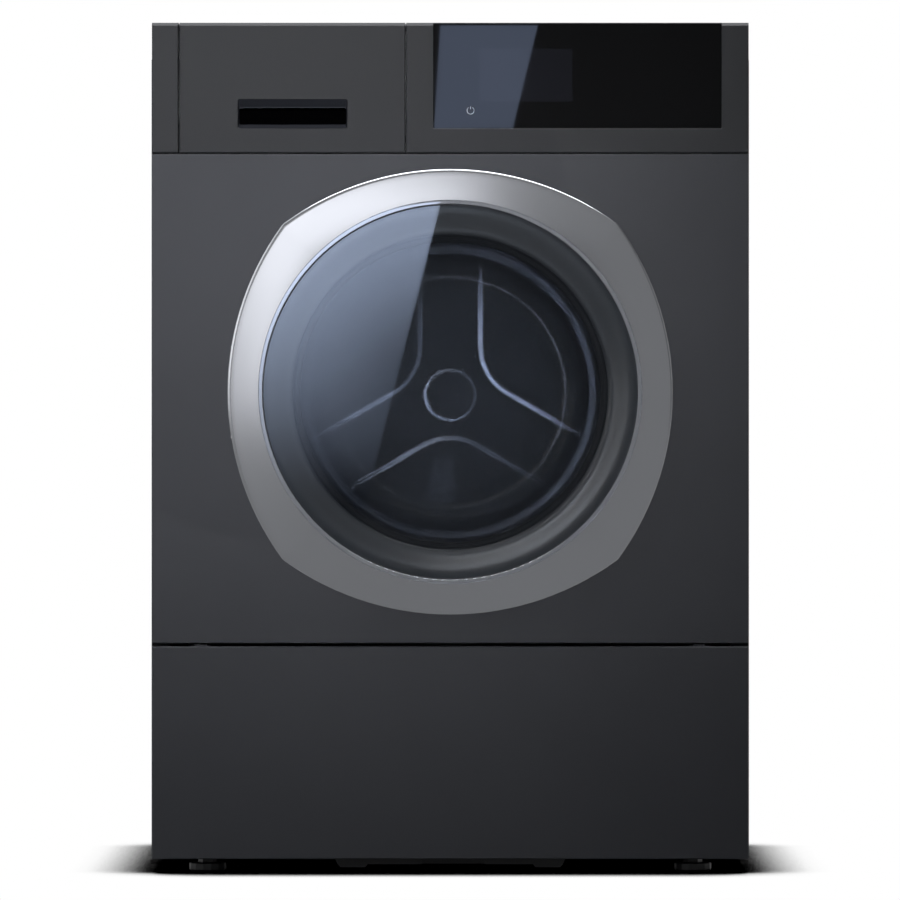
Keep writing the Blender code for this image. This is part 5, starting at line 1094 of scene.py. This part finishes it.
def screws(name, body, node, places, radius, rise, start):
    """Pan heads with a cross recess, seated on a node's rear face."""
    seats = [(x, surface_y(node, x, z, start), z) for x, z in places]
    path = [(0, rise), (radius * 0.5, rise * 0.96), (radius * 0.85, rise * 0.6), (radius, 0), (0, 0)]
    head = made("screw_head", turned(path, steps=24, closed=False), LOOKS["zinc_steel"], ORIGIN)
    arm, half, foot, above = radius * 0.55, radius * 0.11, rise * 0.35, rise * 2
    lying = block((-arm, foot, -half), (arm, above, half))
    standing = block((-half, foot, -arm), (half, above, arm))
    trimmed(head, lying, standing)
    scattered(name, head, [Vector(seat) for seat in seats if seat[1] is not None], body, "zinc_steel")


def rear_screws():
    """The screws of the service cover and of the rear panel."""
    behind = 1.0
    cover = [(side * 0.183, z) for side in (-1, 1) for z in (0.160, 0.3925, 0.625)]
    cover += [(x, z) for x in (-0.12, 0, 0.12) for z in (0.1125, 0.6725)]
    screws("cover_screws", "cabinet", "rear_service_cover", cover, SCREW_R, SCREW_RISE, behind)
    panel = [(side * 0.290, z) for side in (-1, 1) for z in (0.030, 0.220, 0.410, 0.600, 0.795)]
    panel += [(x, z) for x in (-0.10, 0.10) for z in (0.030, 0.803)]
    screws("rear_panel_screws", "cabinet", "rear_panel", panel, SCREW_R, SCREW_RISE, behind)


def vents():
    """Pressed hoods over their slits, which are thin near-black sheets of painted shade, in three blocks of
    five.
    """
    back = high("rear_panel").y
    section = [(0, 0.0050), (0.0010, 0.0047), (0.0020, 0.0038), (0.0026, 0.0024)]
    section += [(0.0028, 0.0006), (0.0028, 0), (0, 0)]
    columns, rows = (-0.075, 0.0, 0.075), (0.715, 0.728, 0.741, 0.754, 0.767)
    places = [Vector((x, back, z)) for x in columns for z in rows]
    hood = made("vent_hood", prism(section, -HOOD_HALF, HOOD_HALF, "X"), LOOKS["zinc_steel"], ORIGIN)
    scattered("vent_hoods", hood, places, "cabinet", "zinc_steel")
    # Each slit is a thin sheet of painted shade under its hood
    opening = block((-SLIT_HALF, -SKIN, -SLIT_HEIGHT), (SLIT_HALF, SKIN, 0))
    slit = made("vent_slit", opening, PAINTED_SHADE_LOOK, ORIGIN)
    scattered("vent_slits", slit, places, "cabinet", "zinc_steel")


def transport_plugs():
    """The plugs in the transport-bolt holes."""
    back = high("rear_panel").y
    path = [(0, 0.0010), (0.0060, 0.0010), (0.0076, 0.0026), (0.0122, 0.0026)]
    path += [(0.0140, 0.0012), (0.0140, 0), (0, 0)]
    plug = made("transport_plug", turned(path, steps=48, closed=False), LOOKS["dark_plastic"], ORIGIN)
    places = [Vector((side * 0.232, back, z)) for side in (-1, 1) for z in (0.31, 0.56)]
    scattered("transport_plugs", plug, places, "cabinet", "dark_plastic")


def door_screws():
    """The screws in the back of the door."""
    behind = -0.20
    turns = (0.6, 1.25, 1.9, 2.55, 3.75, 4.4, 5.05, 5.7)
    spots = [(DOOR_SCREW_CIRCLE * math.cos(t), AXIS.z + DOOR_SCREW_CIRCLE * math.sin(t)) for t in turns]
    screws("door_back_screws", "door", "door_back_frame", spots, DOOR_SCREW_R, DOOR_SCREW_RISE, behind)


rear_screws()
vents()
transport_plugs()
door_screws()


# Studio

ROOM_SIDE = 18.0
ROOM_TOP = 11.0
ROOM_COLOUR = (0.97, 0.98, 1.0)


def stage_look(name, colour, strength):
    look = bpy.data.materials.new(name)
    look.use_nodes = True
    tree = look.node_tree
    tree.nodes.clear()
    light = tree.nodes.new("ShaderNodeEmission")
    light.inputs["Color"].default_value = (*colour, 1.0)
    light.inputs["Strength"].default_value = strength
    out = tree.nodes.new("ShaderNodeOutputMaterial")
    tree.links.new(light.outputs["Emission"], out.inputs["Surface"])
    return look


def seen_rays(tree):
    """1 for camera, glossy and transmission rays, 0 for the rest."""
    path = tree.nodes.new("ShaderNodeLightPath")
    total = path.outputs["Is Camera Ray"]
    for kind in ("Is Glossy Ray", "Is Transmission Ray"):
        add = tree.nodes.new("ShaderNodeMath")
        add.operation = "MAXIMUM"
        tree.links.new(total, add.inputs[0])
        tree.links.new(path.outputs[kind], add.inputs[1])
        total = add.outputs[0]
    return total


def floor():
    """A white floor that keeps the object's contact shadow."""
    look = bpy.data.materials.new("white_floor")
    look.use_nodes = True
    tree = look.node_tree
    shader = tree.nodes["Principled BSDF"]
    shader.inputs["Base Color"].default_value = (0.30, 0.30, 0.30, 1.0)
    shader.inputs["Roughness"].default_value = 0.9
    near = tree.nodes.new("ShaderNodeAmbientOcclusion")
    near.samples = 16
    near.inputs["Distance"].default_value = 0.10
    shade = tree.nodes.new("ShaderNodeMapRange")
    shade.inputs["From Min"].default_value = 0.60
    shade.inputs["From Max"].default_value = 0.90
    tree.links.new(near.outputs["AO"], shade.inputs["Value"])
    light = tree.nodes.new("ShaderNodeEmission")
    tree.links.new(shade.outputs["Result"], light.inputs["Strength"])
    mix = tree.nodes.new("ShaderNodeMixShader")
    out = tree.nodes["Material Output"]
    tree.links.new(seen_rays(tree), mix.inputs[0])
    tree.links.new(shader.outputs[0], mix.inputs[1])
    tree.links.new(light.outputs[0], mix.inputs[2])
    tree.links.new(mix.outputs[0], out.inputs["Surface"])
    reach = 30.0
    bm = bmesh.new()
    bm.faces.new([bm.verts.new((x * reach, y * reach, 0)) for x, y in ((-1, -1), (1, -1), (1, 1), (-1, 1))])
    made("studio_floor", bm, look, ORIGIN)


def eased(tree, source, start, end):
    """A smooth ramp between two (place, value) pairs."""
    ramp = tree.nodes.new("ShaderNodeMapRange")
    ramp.interpolation_type = "SMOOTHSTEP"
    ramp.inputs["From Min"].default_value, ramp.inputs["To Min"].default_value = start
    ramp.inputs["From Max"].default_value, ramp.inputs["To Max"].default_value = end
    tree.links.new(source, ramp.inputs["Value"])
    return ramp.outputs["Result"]


def own_height(tree):
    """A surface point's height in the object's own frame."""
    split = tree.nodes.new("ShaderNodeSeparateXYZ")
    tree.links.new(tree.nodes.new("ShaderNodeTexCoord").outputs["Object"], split.inputs[0])
    return split.outputs["Z"]


def own_distance(tree, centre):
    """A surface point's distance from a place in the object's own frame."""
    away = tree.nodes.new("ShaderNodeVectorMath")
    away.operation = "DISTANCE"
    away.inputs[1].default_value = centre
    tree.links.new(tree.nodes.new("ShaderNodeTexCoord").outputs["Object"], away.inputs[0])
    return away.outputs["Value"]


def product(tree, first, second):
    times = tree.nodes.new("ShaderNodeMath")
    times.operation = "MULTIPLY"
    tree.links.new(first, times.inputs[0])
    tree.links.new(second, times.inputs[1])
    return times.outputs[0]


def card(name, corners, colour, strength, fade=None, glow=None, clear=False):
    """A card that only reflections see.

    A fade lets it grow brighter between two heights, a glow changes it by shares between two distances
    from a place, and a clear one hides nothing behind it.
    """
    look = stage_look(name, colour, strength)
    tree = look.node_tree
    light = next(node for node in tree.nodes if node.type == "EMISSION")
    levels = []
    if fade:
        levels.append(eased(tree, own_height(tree), (fade[0], 0.0), (fade[1], strength)))
    if glow:
        centre, (near, near_share), (far, far_share) = glow
        full = 1.0 if fade else strength
        away = own_distance(tree, centre)
        levels.append(eased(tree, away, (near, near_share * full), (far, far_share * full)))
    if levels:
        level = levels[0] if len(levels) == 1 else product(tree, *levels)
        tree.links.new(level, light.inputs["Strength"])
    if clear:
        out = next(node for node in tree.nodes if node.type == "OUTPUT_MATERIAL")
        through = tree.nodes.new("ShaderNodeBsdfTransparent")
        both = tree.nodes.new("ShaderNodeAddShader")
        tree.links.new(light.outputs["Emission"], both.inputs[0])
        tree.links.new(through.outputs[0], both.inputs[1])
        tree.links.new(both.outputs[0], out.inputs["Surface"])
    bm = bmesh.new()
    bm.faces.new([bm.verts.new(corner) for corner in corners])
    piece = made(name, bm, look, ORIGIN)
    piece.visible_camera = False
    piece.visible_shadow = False
    piece.visible_transmission = False
    piece.visible_diffuse = False
    return piece


def upright_corners(left, right, bottom, top, y):
    return [(left, y, bottom), (right, y, bottom), (right, y, top), (left, y, top)]


def level_corners(left, right, front, back, z):
    return [(left, front, z), (right, front, z), (right, back, z), (left, back, z)]


def round_card(radius, steps, y, centre=(0, 0)):
    return [(x, y, z + AXIS.z) for x, z in circle(radius, steps, centre)]


def arc_card(inner, outer, start, end, steps, y):
    outline = arc((0, 0), outer, start, end, steps) + arc((0, 0), inner, end, start, steps)
    return [(x, y, z + AXIS.z) for x, z in outline]


def round_place(radius, degrees, y):
    turn = math.radians(degrees)
    return radius * math.cos(turn), y, radius * math.sin(turn) + AXIS.z


def seen_only_by(light, *pieces):
    """Links a card's light to a few pieces."""
    group = bpy.data.collections.new(f"{light.name}_receivers")
    for piece in pieces:
        group.objects.link(bpy.data.objects[piece])
    light.light_linking.receiver_collection = group


def not_blocked_by(light, *pieces):
    """Lets a lamp's light pass a few pieces that stand proud of the front."""
    group = bpy.data.collections.new(f"{light.name}_blockers")
    for piece in pieces:
        group.objects.link(bpy.data.objects[piece])
    light.light_linking.blocker_collection = group
    for held in group.collection_objects:
        held.light_linking.link_state = "EXCLUDE"


def lamp(name, place, target, width, depth, watts):
    light = bpy.data.lights.new(name, "AREA")
    light.shape = "RECTANGLE"
    light.size, light.size_y = width, depth
    light.energy = watts
    holder = bpy.data.objects.new(name, light)
    holder.location = place
    holder.rotation_euler = (Vector(target) - Vector(place)).to_track_quat("-Z", "Y").to_euler()
    bpy.context.scene.collection.objects.link(holder)
    return holder


def camera():
    lens = bpy.data.cameras.new("photo_camera")
    lens.lens = LENS_MM
    lens.sensor_width = SENSOR_MM
    lens.sensor_fit = "HORIZONTAL"
    away = FRAME_WIDTH * LENS_MM / SENSOR_MM
    holder = bpy.data.objects.new("photo_camera", lens)
    holder.location = (FRAME_CENTRE_X, FRONT_Y - away, FRAME_CENTRE_Z)
    holder.rotation_euler = (QUARTER_TURN, 0, 0)
    bpy.context.scene.collection.objects.link(holder)
    bpy.context.scene.camera = holder
    return holder


def world():
    sky = bpy.data.worlds.new("studio_world")
    sky.use_nodes = True
    tree = sky.node_tree
    background = tree.nodes["Background"]
    level = tree.nodes.new("ShaderNodeMapRange")
    level.inputs["To Min"].default_value = 0.08
    level.inputs["To Max"].default_value = 1.0
    tree.links.new(seen_rays(tree), level.inputs["Value"])
    background.inputs["Color"].default_value = (1, 1, 1, 1)
    tree.links.new(level.outputs["Result"], background.inputs["Strength"])
    bpy.context.scene.world = sky


def room(wall_y, view_y):
    """Dim walls in front and at the sides, a darker one straight ahead and a bright sheet overhead."""
    ring_y, lift = -0.335, 0.002
    card("studio_wall", upright_corners(-ROOM_SIDE, ROOM_SIDE, 0, ROOM_TOP, wall_y), ROOM_COLOUR, 0.24)
    card("studio_front_floor", level_corners(-ROOM_SIDE, ROOM_SIDE, wall_y, ring_y, lift), ROOM_COLOUR, 0.24)
    card("studio_dark", upright_corners(-1.0, 1.0, 0, 1.75, view_y - 0.2), (0.9, 0.95, 1.0), 0.03)
    card("top_sheet", level_corners(-1.5, 1.5, -1.3, 0.7, 3.0), (0.96, 0.97, 1.0), 6.0)
    for name, x, strength in (("left_sheet", -6.0, 0.75), ("right_sheet", 6.0, 0.12)):
        corners = [(x, wall_y, 0), (x, 4.0, 0), (x, 4.0, ROOM_TOP), (x, wall_y, ROOM_TOP)]
        card(name, corners, ROOM_COLOUR, strength)


def glass_cards(view_y):
    """The slanted windows that the control glass and the door pane mirror."""
    bottom, top = 1.0654, 1.2714
    card(
        "glass_strip",
        [(-0.0322, view_y, bottom), (0.1252, view_y, bottom), (0.1752, view_y, top), (-0.0196, view_y, top)],
        (0.55, 0.68, 1.0),
        2.3,
    )
    bottom, top, left = 0.20, 0.9194, -0.60
    sheet = card(
        "pane_sheet",
        [(-0.1987, view_y, bottom), (-0.0188, view_y, top), (left, view_y, top), (left, view_y, bottom)],
        (0.593, 0.72, 1.0),
        3.47,
        fade=(0.3068, 0.7968),
        glow=((0, view_y, 0.565), (0, 0.15), (0.36, 1.0)),
    )
    seen_only_by(sheet, "glass_pane", "ring_rim")


def door_cards():
    """The glints on the drum's end, in the dish and along the silver ring."""
    glint_y = FRONT_Y - 0.8
    glint = card(
        "drum_glint",
        arc_card(0.28, 0.42, 0, FULL_TURN * 0.999, 48, glint_y),
        (0.66, 0.78, 1.0),
        15.0,
        glow=(round_place(0.35, 212, glint_y), (0.15, 1.0), (0.60, 0.17)),
        clear=True,
    )
    seen_only_by(glint, "drum_end", "glass_bowl")
    drum_fill = card("drum_fill", round_card(0.27, 32, glint_y - 0.01), (0.82, 0.91, 1.0), 0.18, clear=True)
    seen_only_by(drum_fill, "drum_end")
    spot = round_card(0.042, 24, glint_y - 0.02, (-0.041, 0.081))
    seen_only_by(card("dish_glint", spot, (0.70, 0.83, 1.0), 3.0, clear=True), "dark_dish")
    sweep_y = FRONT_Y - 4.0
    card(
        "ring_sweep",
        arc_card(0.82, 1.75, math.radians(82.5), math.radians(186), 24, sweep_y),
        (0.955, 0.965, 1.0),
        1.85,
        glow=(round_place(1.27, 125, sweep_y), (0.2, 1.0), (1.5, 0.486)),
    )


def lamps():
    place, target = (-0.28, FRONT_Y - 2.35, 1.48), (-0.17, FRONT_Y, 0.665)
    key = lamp("key_softbox", place, target, width=0.6, depth=0.5, watts=2.8)
    key.data.spread = math.radians(31)
    key.visible_glossy = False
    not_blocked_by(key, "silver_ring", "door_back_frame", "hinge_arm", "hinge_bracket")
    target = (0, FRONT_Y, 0.5)
    lamp("left_softbox", (-3.2, -2.6, 1.6), target, width=1.2, depth=2.0, watts=8)
    lamp("right_softbox", (4.2, -2.2, 1.4), target, width=1.2, depth=2.2, watts=3)
    rear = lamp("rear_softbox", (-1.5, 4.2, 2.2), (0, 0.3, 0.5), width=3.0, depth=2.0, watts=110)
    rear.visible_glossy = False


def studio():
    world()
    floor()
    view_y = camera().location.y
    room(view_y - 1.0, view_y)
    glass_cards(view_y)
    door_cards()
    lamps()


studio()
bpy.context.scene.view_settings.view_transform = "Standard"
